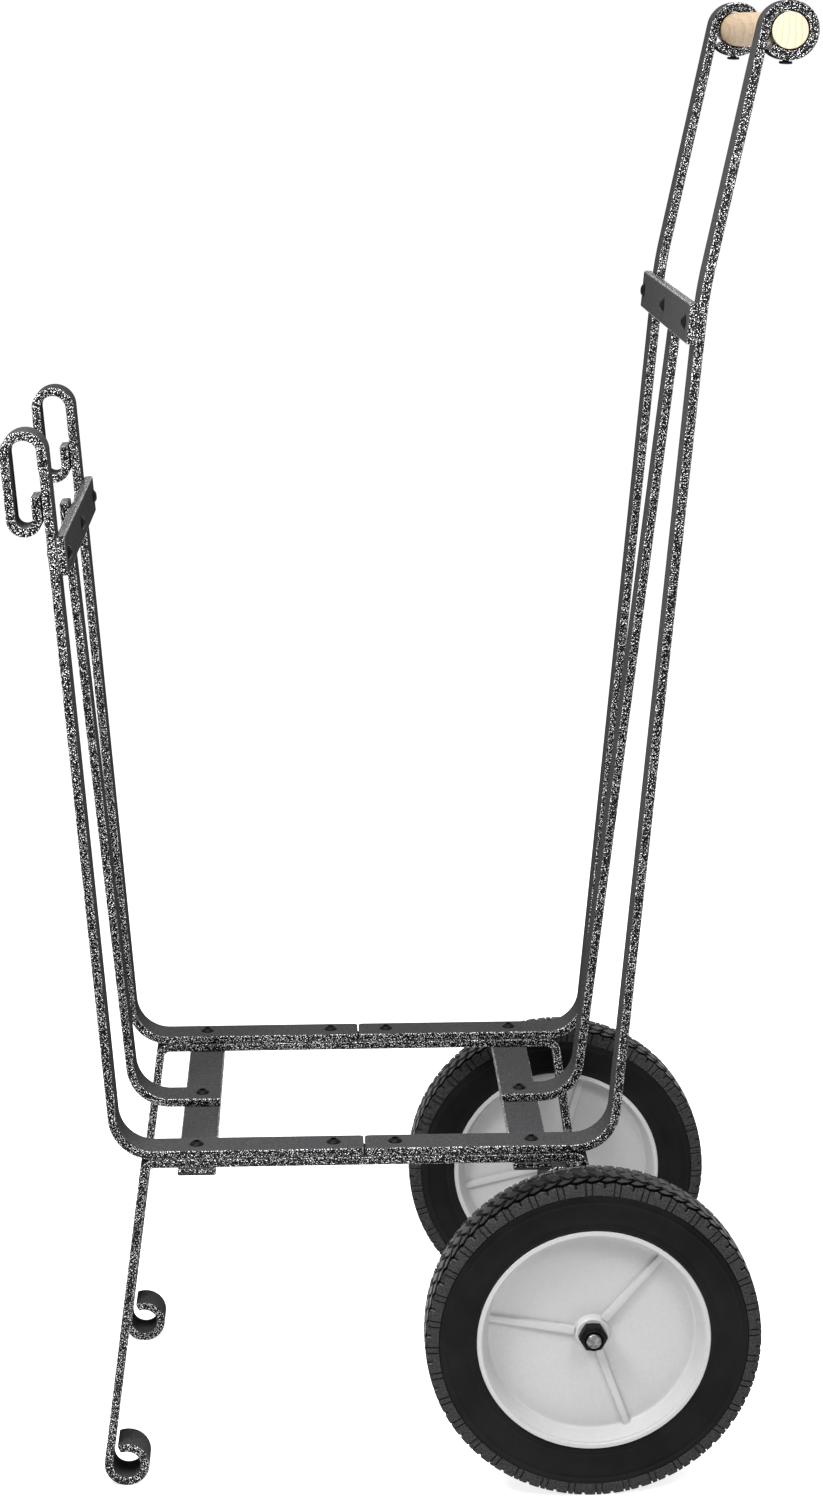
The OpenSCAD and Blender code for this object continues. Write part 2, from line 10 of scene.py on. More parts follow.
import bpy
import numpy as np
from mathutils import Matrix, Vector


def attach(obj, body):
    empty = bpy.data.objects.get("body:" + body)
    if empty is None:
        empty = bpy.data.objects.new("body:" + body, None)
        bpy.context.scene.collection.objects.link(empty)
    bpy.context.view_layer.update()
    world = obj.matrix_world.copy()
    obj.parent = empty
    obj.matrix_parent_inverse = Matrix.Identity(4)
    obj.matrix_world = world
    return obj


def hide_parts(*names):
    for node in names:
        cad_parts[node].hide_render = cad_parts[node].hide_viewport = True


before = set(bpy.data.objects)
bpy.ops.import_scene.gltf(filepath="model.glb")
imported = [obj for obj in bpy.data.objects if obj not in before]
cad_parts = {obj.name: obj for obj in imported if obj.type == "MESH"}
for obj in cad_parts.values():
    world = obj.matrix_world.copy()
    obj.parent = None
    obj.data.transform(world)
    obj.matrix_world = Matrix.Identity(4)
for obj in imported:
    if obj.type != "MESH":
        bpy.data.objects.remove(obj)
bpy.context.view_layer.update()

# ---- Real sizes, in millimetres and degrees ----

MM = 0.001
BAR_W = 29.0
BAR_T = 6.8
EDGE_R = 1.4
FRAME_W = 290.0
BUTT_GAP = 1.0
RAIL_END_R = 3.5
CROSS_END_R = 3.0
CUT_R = 0.8
CROSS_BAR_X = 126.5
JOINT_SCREW_X = 23.2
UPRIGHT_BEND_R = 31.0
UPRIGHT_CORNER_X = 186.7

FRONT_LEAN = 4.1
HOOK_TOP = 542.5
HOOK_TOP_R = 13.5
HOOK_SIDE = 46.0
HOOK_END_R = 9.5
HOOK_TIP = 15.5

REAR_LEAN = 5.16
HANDLE_LEAN = 12.0
HANDLE_BEND_Z = 634.7
HANDLE_BEND_R = 300.0
HANDLE_Z = 816.0
HANDLE_RING_R = 17.0
HANDLE_RING_TURN = 306.0

FRONT_SLAT_X = 180.0
REAR_SLAT_X = 170.3
FRONT_STRAP_Z = 452.8
REAR_STRAP_Z = 613.9
FRONT_SLAT_TOP = 470.3
REAR_SLAT_TOP = 622.3
SLAT_OFFSET = 0.3

LEG_CORNER_X = 165.0
LEG_BEND_R = 8.3
FRONT_LEG_LEAN = 7.9
REAR_LEG_LEAN = 8.5
CURL_R = 14.0
CURL_TURN = 302.0
FOOT_DROP = 256.3
AXLE_DROP = 138.9

TYRE_R = 127.0
RIM_R = 88.0
RIM_W = 36.6
WHEEL_Y = 172.5
DISC_T = 4.0
BOSS_R = 12.5
BOSS_ROOT_R = 14.2
BOSS_OUT_Y = 179.1
BOSS_IN_Y = 147.5
AXLE_R = 6.0
AXLE_END_Y = 192.5
AXLE_PLAY = 0.05
AXLE_PITCH = 1.75
AXLE_THREAD_DEPTH = 0.4
AXLE_CHAMFER = 0.8
NUT_Y = 179.5
NUT_AF = 19.0
NUT_H = 8.0
NUT_COLLAR_H = 3.5
NUT_COLLAR_R = 8.4
WASHER_Y = 145.1
WASHER_T = 2.0
WASHER_R = 12.0
HANDLE_R = 12.7

SCREW_R = 3.0
HEAD_R = 5.35
HEAD_H = 3.2
HEAD_RIM_H = 0.6
SOCKET_AF = 4.0
SOCKET_DEPTH = 1.8
SOCKET_ROWS = 4
SCREW_TAIL = 1.5
THREAD_PITCH = 1.0
THREAD_DEPTH = 0.25
HANDLE_SCREW_R = 2.25
HANDLE_SCREW_ANGLE = 268.0
HANDLE_SCREW_START = 5.0
HANDLE_NECK = 0.6
HANDLE_HEAD_R = 4.75
HANDLE_HEAD_H = 2.2

SIDE_Y = (FRAME_W - BAR_W) / 2
UPPER_Z = -BAR_T / 2
MIDDLE_Z = -1.5 * BAR_T
LOWER_Z = -2.5 * BAR_T
SIDES = {"left": -1, "right": 1}

# The fitted lens and place of the camera. The photograph is PHOTO_H pixels high.
PHOTO_H = 1500
FOCAL_PIXELS = 2985.06
SENSOR_H = 36.0
CAMERA_AT = (-65.51, -2254.04, 1092.29)
CAMERA_TURN = (76.2589, 1.4677, -2.0180)


# ---- Where the bars run ----


def upright_x(lean, z):
    """Distance of an upright's centre line from the butt joint at a height above the rails."""
    return UPRIGHT_CORNER_X + tan(radians(lean)) * (z - UPPER_Z)


def setback(turn, radius):
    """Length that a bend takes from a run beside it: radius times tan of half its turn."""
    return radius * tan(radians(abs(turn)) / 2)


def slat_lean(strap_x, corner_x, strap_z):
    """Lean of a slat that meets its corner point below and the strap above, in degrees."""
    return atan((strap_x + SLAT_OFFSET - corner_x) / (strap_z - MIDDLE_Z)) * 180 / pi


def curl_start_z(drop, lean):
    """Height at which a leg's straight run meets its curl."""
    return -drop + CURL_R * sin(radians(lean))


def curl_x(drop, lean):
    """Distance of a curl's centre from the butt joint."""
    run = tan(radians(lean)) * (MIDDLE_Z - curl_start_z(drop, lean))
    return LEG_CORNER_X + run - CURL_R * cos(radians(lean))


def front_upright_path():
    """Steps of the front upright: each is a straight run, then a turn at a radius."""
    turn = 90 - FRONT_LEAN
    bend = setback(turn, UPRIGHT_BEND_R)
    rise = (HOOK_START_Z - UPPER_Z) / cos(radians(FRONT_LEAN))
    return [
        (UPRIGHT_CORNER_X - BUTT_GAP / 2 - bend, -turn, UPRIGHT_BEND_R),
        (rise - bend, 180, HOOK_TOP_R),
        (HOOK_SIDE, 180, HOOK_END_R),
        (HOOK_TIP, 0, 0),
    ]


def rear_upright_path():
    """Steps of the rear upright, up to the end of its ring round the handle."""
    turn = 90 - REAR_LEAN
    bend = setback(turn, UPRIGHT_BEND_R)
    gentle = HANDLE_LEAN - REAR_LEAN
    ease = setback(gentle, HANDLE_BEND_R)
    rise = (HANDLE_BEND_Z - UPPER_Z) / cos(radians(REAR_LEAN))
    top = (RING_START_Z - HANDLE_BEND_Z) / cos(radians(HANDLE_LEAN))
    return [
        (UPRIGHT_CORNER_X - BUTT_GAP / 2 - bend, turn, UPRIGHT_BEND_R),
        (rise - bend - ease, -gentle, HANDLE_BEND_R),
        (top - ease, -HANDLE_RING_TURN, HANDLE_RING_R),
    ]


def slat_path(corner_x, lean, top, way):
    """Steps of a middle slat from its lower end; way is 1 where it turns left and -1 right."""
    bend = setback(90 - lean, UPRIGHT_BEND_R)
    foot = corner_x - (CROSS_BAR_X - BAR_W / 2)
    return [
        (foot - bend, way * (90 - lean), UPRIGHT_BEND_R),
        ((top - MIDDLE_Z) / cos(radians(lean)) - bend, 0, 0),
    ]


def leg_path(lean, drop, way):
    """Steps of half a leg bar, from the middle of the rail to the end of its curl."""
    bend = setback(90 - lean, LEG_BEND_R)
    fall = (MIDDLE_Z - curl_start_z(drop, lean)) / cos(radians(lean))
    return [
        (LEG_CORNER_X - bend, way * (90 - lean), LEG_BEND_R),
        (fall - bend, way * CURL_TURN, CURL_R),
    ]


HOOK_OUT_R = HOOK_TOP_R + BAR_T / 2
HOOK_START_Z = HOOK_TOP - HOOK_OUT_R + HOOK_TOP_R * sin(radians(FRONT_LEAN))
HOOK_X = upright_x(FRONT_LEAN, HOOK_START_Z) + HOOK_TOP_R * cos(radians(FRONT_LEAN))
RING_START_Z = HANDLE_Z + HANDLE_RING_R * sin(radians(HANDLE_LEAN))
RING_START_X = upright_x(REAR_LEAN, HANDLE_BEND_Z) + tan(radians(HANDLE_LEAN)) * (
    RING_START_Z - HANDLE_BEND_Z
)
HANDLE_X = RING_START_X + HANDLE_RING_R * cos(radians(HANDLE_LEAN))
RING_OUT_R = HANDLE_RING_R + BAR_T / 2
FRONT_STRAP_X = upright_x(FRONT_LEAN, FRONT_STRAP_Z)
REAR_STRAP_X = upright_x(REAR_LEAN, REAR_STRAP_Z)
FRONT_SLAT_LEAN = slat_lean(FRONT_STRAP_X, FRONT_SLAT_X, FRONT_STRAP_Z)
REAR_SLAT_LEAN = slat_lean(REAR_STRAP_X, REAR_SLAT_X, REAR_STRAP_Z)

# The tip of the tray that brings the feet and the tyres to one level
FOOT_X = curl_x(FOOT_DROP, FRONT_LEG_LEAN)
AXLE_X = curl_x(AXLE_DROP, REAR_LEG_LEAN)
CURL_OUT_R = CURL_R + BAR_T / 2
TIP = atan2(FOOT_DROP - AXLE_DROP, FOOT_X + AXLE_X) - asin(
    (TYRE_R - CURL_OUT_R) / hypot(FOOT_X + AXLE_X, FOOT_DROP - AXLE_DROP)
)


def tipped(x, z):
    """A point of the tray turned about Y by the tip."""
    return x * cos(TIP) + z * sin(TIP), z * cos(TIP) - x * sin(TIP)


REACH_BACK = tipped(HANDLE_X, HANDLE_Z)[0] + RING_OUT_R
REACH_FRONT = tipped(-HOOK_X, HOOK_TOP - HOOK_OUT_R)[0] - HOOK_OUT_R
SHIFT = -(REACH_BACK + REACH_FRONT) / 2
LIFT = TYRE_R - tipped(AXLE_X, -AXLE_DROP)[1]
WHEEL_X = tipped(AXLE_X, -AXLE_DROP)[0] + SHIFT


def on_tray(points):
    """Points of the tray's frame, turned by the tip and lifted onto the ground."""
    x, y, z = np.moveaxis(np.asarray(points, float), -1, 0)
    return np.stack(
        [x * cos(TIP) + z * sin(TIP) + SHIFT, y, z * cos(TIP) - x * sin(TIP) + LIFT], -1
    )


# ---- Meshes ----


def lattice_value(cell):
    """A fixed pseudo-random number from 0 to 1 for each whole-numbered lattice point."""
    x, y, z = np.moveaxis(cell.astype(np.int64), -1, 0)
    mixed = (x * 73856093) ^ (y * 19349663) ^ (z * 83492791)
    mixed = (mixed ^ (mixed >> 13)) * 1274126177 & 0x7FFFFFFF
    return ((mixed ^ (mixed >> 16)) & 0xFFFF) / 0xFFFF


def value_noise(points, cell):
    """Smooth noise from 0 to 1: lattice values blended by an S curve along each axis."""
    place = points / cell
    low = np.floor(place)
    part = place - low
    part = part * part * (3 - 2 * part)
    total = np.zeros(points.shape[:-1])
    for corner in range(8):
        step = np.array([corner & 1, corner >> 1 & 1, corner >> 2 & 1])
        weight = np.prod(np.where(step == 1, part, 1 - part), axis=-1)
        total += weight * lattice_value(low + step)
    return total


def smooth_step(value):
    """An S curve that is 0 below 0 and 1 above 1."""
    value = np.clip(value, 0, 1)
    return value * value * (3 - 2 * value)


def grid_faces(rows, columns, caps):
    """Quads between neighbouring rows, columns wrapping round, and the two end caps.
    Without caps the last row is joined to the first."""
    index = np.arange(rows * columns).reshape(rows, columns)
    low = index[:-1] if caps else index
    high = index[1:] if caps else np.roll(index, -1, axis=0)
    quads = np.stack([low, np.roll(low, -1, 1), np.roll(high, -1, 1), high], -1)
    ends = [index[0][::-1], index[-1]] if caps else []
    return quads.reshape(-1, 4), ends


def signed_volume(points, quads, ends):
    """Sum over the faces' triangles of the triple product of their corners, over six."""

    def triple(a, b, c):
        return np.einsum("ij,ij->i", a, np.cross(b, c)).sum()

    corner = points[quads]
    total = triple(corner[:, 0], corner[:, 1], corner[:, 2])
    total += triple(corner[:, 0], corner[:, 2], corner[:, 3])
    for ring in ends:
        a = np.repeat(points[ring[:1]], len(ring) - 2, axis=0)
        total += triple(a, points[ring[1:-1]], points[ring[2:]])
    return total / 6


def link_object(name, data):
    """A new object in the scene."""
    made = bpy.data.objects.new(name, data)
    bpy.context.scene.collection.objects.link(made)
    return made


def skin(name, grids, caps=True, crease=40, marks=None):
    """One closed mesh from grids of points in millimetres, rows by columns. Faces are turned
    outwards by the sign of the enclosed volume. marks are extra numbers at the points."""
    parts, faces, first = [], [], 0
    for grid in grids:
        rows, columns = grid.shape[:2]
        quads, ends = grid_faces(rows, columns, caps)
        points = grid.reshape(-1, 3) - grid.reshape(-1, 3).mean(0)
        way = 1 if signed_volume(points, quads, ends) > 0 else -1
        faces += (quads[:, ::way] + first).tolist()
        faces += [(ring[::way] + first).tolist() for ring in ends]
        parts.append(grid.reshape(-1, 3))
        first += rows * columns
    mesh = bpy.data.meshes.new(name)
    mesh.from_pydata((np.concatenate(parts) * MM).tolist(), [], faces)
    for key, values in (marks or {}).items():
        layer = mesh.attributes.new(key, "FLOAT", "POINT")
        flat = np.concatenate([v.ravel() for v in values]).astype(np.float32)
        layer.data.foreach_set("value", flat)
    mesh.shade_smooth()
    mesh.set_sharp_from_angle(angle=radians(crease))
    return link_object(name, mesh)


def finish_piece(piece, material, slot, *nodes, body="root"):
    """Gives a piece its material and the body it rides on, and hides the CAD parts of the nodes it
    stands for.
    """
    piece.data.materials.append(material)
    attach(piece, body)
    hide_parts(*nodes)


# ---- Flat bars ----

STATION_PITCH = 1.2
LINE_PITCH = 0.3
CORNER_STEPS = 3
NARROW_STEPS = 4
WIDE_STEPS = 17
END_STEPS = 6
RELIEF_CELL = 2.4
NARROW_RELIEF = 0.12
WIDE_RELIEF = 0.03


def centre_line(x, z, heading, steps):
    """The line that a bar follows in the XZ plane: runs are straight, and a turn is an arc about
    a point at its radius to the left, or to the right if the turn is negative. Returns rows of
    x, z and heading in radians."""
    heading = radians(heading)
    rows = [np.array([[x, z, heading]])]
    for run, turn, radius in steps:
        if run > 0:
            along = np.linspace(0, run, max(2, int(run / LINE_PITCH)))[1:, None]
            way = np.array([[cos(heading), sin(heading), 0]])
            rows.append(rows[-1][-1:] + along * way)
        if turn:
            side = 1 if turn > 0 else -1
            count = max(8, int(radians(abs(turn)) * radius / LINE_PITCH))
            angle = heading + np.linspace(0, radians(turn), count)[1:]
            x, z = rows[-1][-1, :2]
            x = x + side * radius * (np.sin(angle) - sin(heading))
            z = z - side * radius * (np.cos(angle) - cos(heading))
            rows.append(np.stack([x, z, angle], -1))
            heading = angle[-1]
    return np.concatenate(rows)


def bar_outline():
    """The bar's section, anticlockwise: quarter circles at the corners joined by even flats.
    Returns places and outward normals as (thickness, width)."""
    flat_t = BAR_T / 2 - EDGE_R
    flat_w = BAR_W / 2 - EDGE_R
    corners = [(flat_t, flat_w), (-flat_t, flat_w), (-flat_t, -flat_w), (flat_t, -flat_w)]
    places, normals = [], []
    for quarter, middle in enumerate(corners):
        angle = np.radians(90 * quarter + np.linspace(0, 90, CORNER_STEPS + 1))
        normal = np.stack([np.cos(angle), np.sin(angle)], -1)
        places.append(np.array(middle) + EDGE_R * normal)
        normals.append(normal)
        count = NARROW_STEPS if quarter % 2 == 0 else WIDE_STEPS
        share = np.linspace(0, 1, count + 1)[1:-1, None]
        following = np.array(corners[(quarter + 1) % 4]) + EDGE_R * normal[-1]
        places.append(places[-1][-1] + share * (following - places[-1][-1]))
        normals.append(np.repeat(normal[-1:], count - 1, axis=0))
    return np.concatenate(places), np.concatenate(normals)


def stations(length):
    """Even stations along a bar, with extra ones near both ends for their rounding."""
    even = np.linspace(0, length, int(length / STATION_PITCH))
    angle = np.linspace(0, pi / 2, END_STEPS)
    close = np.concatenate([r * (1 - np.cos(angle)) for r in (CUT_R, RAIL_END_R)])
    every = np.sort(np.concatenate([even, close, length - close]))
    return every[np.concatenate([[True], np.diff(every) > 0.02])]


def round_off(distance, radius):
    """How far a rounded corner lies inside its square one, at a distance from the end."""
    gap = np.clip(radius - distance, 0, radius)
    return radius - np.sqrt(radius * radius - gap * gap)


def sweep(name, s, centre, thick, wide, sides, under):
    """Carries the section along a line: point = centre + thick * t + wide * w, less the hammered
    relief along the section's normal. sides and under are how far the width's two edges and the
    lower face are drawn in at each station."""
    outline, normal = bar_outline()
    t, w = outline[:, 0], outline[:, 1]
    cut = np.maximum(round_off(s, CUT_R), round_off(s[-1] - s, CUT_R))
    sides, under = np.maximum(sides, cut), np.maximum(under, cut)
    shrink_t = np.where(t > 0, cut[:, None], under[:, None]) / (BAR_T / 2)
    shrink_w = sides[:, None] / (BAR_W / 2)
    narrow = np.repeat(normal[None, :, 1] ** 2, len(s), axis=0)
    spot = np.stack(np.broadcast_arrays(s[:, None], t[None, :], w[None, :]), -1)
    depth = WIDE_RELIEF + (NARROW_RELIEF - WIDE_RELIEF) * narrow
    relief = depth * (
        0.65 * value_noise(spot, RELIEF_CELL) + 0.35 * value_noise(spot + 40, RELIEF_CELL / 2)
    )
    out_t = t * (1 - shrink_t) - normal[:, 0] * relief
    out_w = w * (1 - shrink_w) - normal[:, 1] * relief
    grid = centre[:, None] + thick[:, None] * out_t[..., None] + wide[:, None] * out_w[..., None]
    # the cut ends sparkle as the narrow edges do, so each cap has a ring of its own
    first, last = (0.96 * grid[k] + 0.04 * centre[k] for k in (0, -1))
    grid = np.concatenate([first[None], grid, last[None]])
    narrow = np.pad(narrow, ((1, 1), (0, 0)), constant_values=1.0)
    return skin(name, [on_tray(grid)], crease=60, marks={"narrow": [narrow]})


def bent_bar(name, y, line, sides_r=0.0):
    """A bar that follows a line in the XZ plane, its width along Y. sides_r rounds its first end
    as seen from above."""
    length = np.concatenate([[0], np.cumsum(np.hypot(*np.diff(line[:, :2], axis=0).T))])
    s = stations(length[-1])
    x, z, heading = (np.interp(s, length, line[:, k]) for k in range(3))
    nought = np.zeros_like(s)
    centre = np.stack([x, nought + y, z], -1)
    thick = np.stack([-np.sin(heading), nought, np.cos(heading)], -1)
    wide = np.stack([nought, nought + 1, nought], -1)
    return sweep(name, s, centre, thick, wide, round_off(s, sides_r), nought)


def cross_piece(name, x, z, lean, under_r):
    """A straight bar across the cart. lean turns its thickness from Z towards X, in degrees, and
    under_r rounds the lower edges of its ends."""
    s = stations(FRAME_W)
    nought = np.zeros_like(s)
    centre = np.stack([nought + x, s - FRAME_W / 2, nought + z], -1)
    thick = np.stack([nought + sin(radians(lean)), nought, nought + cos(radians(lean))], -1)
    wide = np.stack([nought + cos(radians(lean)), nought, nought - sin(radians(lean))], -1)
    ends = round_off(np.minimum(s, FRAME_W - s), under_r)
    return sweep(name, s, centre, thick, wide, nought, ends)


def leg_line():
    """The whole leg bar: the rear half walked backwards, then the front half."""
    front = centre_line(0, MIDDLE_Z, 180, leg_path(FRONT_LEG_LEAN, FOOT_DROP, 1))
    rear = centre_line(0, MIDDLE_Z, 0, leg_path(REAR_LEG_LEAN, AXLE_DROP, -1))[::-1]
    return np.concatenate([rear + np.array([0, 0, pi]), front[1:]])


def strap_place(strap_x, strap_z, lean, way):
    """Middle of a strap on the log side of its uprights, one bar's thickness in from them."""
    return (
        way * (strap_x - BAR_T * cos(radians(lean))),
        strap_z + BAR_T * sin(radians(lean)),
    )


def make_bars(material):
    """The twelve bent and straight flat bars."""
    slot = "bar_metal"
    for side, way in SIDES.items():
        y = way * SIDE_Y
        front = centre_line(-BUTT_GAP / 2, UPPER_Z, 180, front_upright_path())
        rear = centre_line(BUTT_GAP / 2, UPPER_Z, 0, rear_upright_path())
        lines = {"front_upright": front, "rear_upright": rear, "leg_bar": leg_line()}
        for kind, line in lines.items():
            end_r = 0 if kind == "leg_bar" else RAIL_END_R
            piece = bent_bar(f"{kind}_{side}_flat_bar", y, line, end_r)
            finish_piece(piece, material, slot, f"{kind}_{side}")
    slat_start = CROSS_BAR_X - BAR_W / 2
    slats = {
        "front_middle_slat": centre_line(
            -slat_start, MIDDLE_Z, 180, slat_path(FRONT_SLAT_X, FRONT_SLAT_LEAN, FRONT_SLAT_TOP, -1)
        ),
        "rear_middle_slat": centre_line(
            slat_start, MIDDLE_Z, 0, slat_path(REAR_SLAT_X, REAR_SLAT_LEAN, REAR_SLAT_TOP, 1)
        ),
    }
    for node, line in slats.items():
        finish_piece(bent_bar(f"{node}_flat_bar", 0, line), material, slot, node)
    front_x, front_z = strap_place(FRONT_STRAP_X, FRONT_STRAP_Z, FRONT_LEAN, -1)
    rear_x, rear_z = strap_place(REAR_STRAP_X, REAR_STRAP_Z, REAR_LEAN, 1)
    crossing = {
        "front_strap": (front_x, front_z, 90 - FRONT_LEAN, 0),
        "rear_strap": (rear_x, rear_z, 90 + REAR_LEAN, 0),
        "front_cross_bar": (-CROSS_BAR_X, LOWER_Z, 0, CROSS_END_R),
        "rear_cross_bar": (CROSS_BAR_X, LOWER_Z, 0, CROSS_END_R),
    }
    for node, (x, z, lean, under_r) in crossing.items():
        piece = cross_piece(f"{node}_flat_bar", x, z, lean, under_r)
        finish_piece(piece, material, slot, node)


# ---- Turned pieces and fasteners ----


def turned(profile, columns, origin, axis, reach=None):
    """A profile of (radius, height) rows carried round an axis. reach, if given, maps radii and
    angles to radii, for faces that aren't round. Returns a grid in millimetres."""
    profile = np.asarray(profile, float)
    angle = np.linspace(0, 2 * pi, columns, endpoint=False)[None, :]
    radius = np.repeat(profile[:, :1], columns, axis=1)
    if reach is not None:
        radius = reach(radius, angle)
    axis = np.array(axis, float)
    axis = axis / np.linalg.norm(axis)
    helper = np.array([0.0, 1.0, 0.0]) if abs(axis[1]) < 0.9 else np.array([1.0, 0.0, 0.0])
    first = np.cross(helper, axis)
    first = first / np.linalg.norm(first)
    second = np.cross(axis, first)
    across = (radius * np.cos(angle))[..., None] * first
    along = (radius * np.sin(angle))[..., None] * second
    return np.array(origin, float) + (across + along) + profile[:, 1][:, None, None] * axis


def hexagon_reach(angle, across_flats):
    """Radius of a hexagon at an angle: half its width over the cosine from the nearest flat."""
    return across_flats / 2 / np.cos((angle + pi / 6) % (pi / 3) - pi / 6)


def rounded_corner(middle, radius, start, end, count):
    """Points of an arc about a middle point, from one angle to another in degrees."""
    angle = np.radians(np.linspace(start, end, count))
    return [(middle[0] + radius * cos(a), middle[1] + radius * sin(a)) for a in angle]


def screw_profile(depth, tail):
    """Half section of a button head screw: tip, threaded tail, shank, low domed head, socket."""
    rise = HEAD_H - HEAD_RIM_H
    dome_r = (HEAD_R * HEAD_R + rise * rise) / (2 * rise)
    socket_r = SOCKET_AF / 2
    lip_r = socket_r * 1.25
    rows = [(0.3, -depth), (SCREW_R - 0.5, -depth), (SCREW_R, -depth + 0.5)]
    for turn in range(int(tail / THREAD_PITCH) + 1):
        z = -depth + 0.5 + turn * THREAD_PITCH
        rows += [(SCREW_R - THREAD_DEPTH, z + THREAD_PITCH / 2), (SCREW_R, z + THREAD_PITCH)]
    rows += [(SCREW_R, -0.2), (SCREW_R, 0), (HEAD_R - 0.2, 0), (HEAD_R, 0.2), (HEAD_R, HEAD_RIM_H)]
    radii = HEAD_R - (HEAD_R - lip_r) * np.linspace(0, 1, 8)[1:]
    rows += [(r, HEAD_H - dome_r + (dome_r * dome_r - r * r) ** 0.5) for r in radii]
    lip_z = rows[-1][1]
    rows += [(socket_r * 1.02, lip_z - 0.15), (socket_r, lip_z - 0.5)]
    rows += [(socket_r, lip_z - SOCKET_DEPTH), (socket_r * 0.3, lip_z - SOCKET_DEPTH - 0.4)]
    return rows


def socket_reach(radius, angle):
    """Round outside the socket's lip and a hexagon inside it."""
    radius[-SOCKET_ROWS:] *= hexagon_reach(angle, SOCKET_AF) / (SOCKET_AF / 2)
    return radius


def button_screws(name, places, depth, tail):
    """Screws at places of (origin, axis) in the tray's frame."""
    profile = screw_profile(depth, tail)
    grids = [on_tray(turned(profile, 36, origin, axis, socket_reach)) for origin, axis in places]
    return skin(name, grids, crease=35)


def strap_screw_places(strap_x, strap_z, lean, way):
    """The heads' seats on the log face of a strap, one at each bar."""
    slope = radians(lean)
    inward = np.array([-way * cos(slope), 0, sin(slope)])
    middle = np.array([way * strap_x, 0, strap_z]) + 1.5 * BAR_T * inward
    return [(middle + np.array([0, y, 0]), inward) for y in (-SIDE_Y, 0, SIDE_Y)]


def make_screws(material):
    """All the frame screws and the two handle screws."""
    slot = "screw_black"
    up = (0, 0, 1)
    ends = (-1, 1)
    long_places, short_places = (
        [((e * x, y * SIDE_Y, 0), up) for e in ends for y in ends]
        for x in (CROSS_BAR_X, JOINT_SCREW_X)
    )
    slat_places = [((e * CROSS_BAR_X, 0, -BAR_T), up) for e in ends]
    front_places = strap_screw_places(FRONT_STRAP_X, FRONT_STRAP_Z, FRONT_LEAN, -1)
    rear_places = strap_screw_places(REAR_STRAP_X, REAR_STRAP_Z, REAR_LEAN, 1)
    strap_depth = 2 * BAR_T + SCREW_TAIL
    rows = {
        "rail_screws_long": (long_places, 3 * BAR_T, 0),
        "rail_screws_short": (short_places, 2 * BAR_T, 0),
        "slat_screws": (slat_places, 2 * BAR_T, 0),
        "front_strap_screws": (front_places, strap_depth, SCREW_TAIL),
        "rear_strap_screws": (rear_places, strap_depth, SCREW_TAIL),
    }
    for node, (places, depth, tail) in rows.items():
        finish_piece(button_screws(f"{node}_turned", places, depth, tail), material, slot, node)
    angle = radians(HANDLE_SCREW_ANGLE)
    axis = np.array([cos(angle), 0, sin(angle)])
    head_z = RING_OUT_R + HANDLE_NECK
    edge = HANDLE_HEAD_R - 0.7
    profile = [(0.3, HANDLE_SCREW_START), (HANDLE_SCREW_R, HANDLE_SCREW_START + 1.5)]
    profile += [(HANDLE_SCREW_R, head_z), (edge, head_z)]
    profile += rounded_corner((edge, head_z + 0.7), 0.7, -90, 0, 4)
    profile += rounded_corner((edge, head_z + HANDLE_HEAD_H - 1.0), 0.7, 0, 80, 5)
    profile += [(HANDLE_HEAD_R * 0.5, head_z + HANDLE_HEAD_H - 0.1), (0.4, head_z + HANDLE_HEAD_H)]
    grids = [on_tray(turned(profile, 36, (HANDLE_X, y * SIDE_Y, HANDLE_Z), axis)) for y in ends]
    piece = skin("handle_screws_turned", grids, crease=35)
    finish_piece(piece, material, slot, "handle_screws")


def nut_grid(side):
    """A locking nut: a hexagon whose corners are cut by a 30 degree cone at both faces, then a
    round collar with a rolled edge, closed in round the thread."""
    bore = AXLE_R + AXLE_PLAY
    face_r = NUT_AF / 2 * 0.95
    slope = tan(radians(60))
    heights = np.array([0, 0.5, 1.0, 1.6, 3, 5, 6.4, 7.0, 7.5, NUT_H])
    cone = np.minimum(face_r + slope * (NUT_H - heights), face_r + 0.6 + slope * heights)

    def reach(radius, angle):
        wall = slice(2, 2 + len(heights))
        radius[wall] = np.minimum(hexagon_reach(angle, NUT_AF), radius[wall])
        return radius

    top = NUT_H + NUT_COLLAR_H
    profile = [(bore, 0.6), (bore + 0.6, 0)]
    profile += list(zip(cone, heights))
    profile += [(NUT_COLLAR_R + 0.25, NUT_H + 0.05), (NUT_COLLAR_R, NUT_H + 0.3)]
    profile += rounded_corner((NUT_COLLAR_R - 1.1, top - 1.1), 1.1, 0, 100, 8)
    profile += [(bore + 0.7, top - 0.35), (bore + 0.15, top - 0.9), (bore, top - 1.4)]
    return turned(profile, 72, (WHEEL_X, side * NUT_Y, TYRE_R), (0, side, 0), reach)


def about_axle(side, radius, angle, y):
    """Points from a radius and an angle about the axle's line and a distance y out to a side.
    The angle is seen from outside the left wheel."""
    radius, angle, y = np.broadcast_arrays(radius, angle, y)
    return np.stack(
        [WHEEL_X + radius * np.cos(angle), side * y, TYRE_R + radius * np.sin(angle)], -1
    )


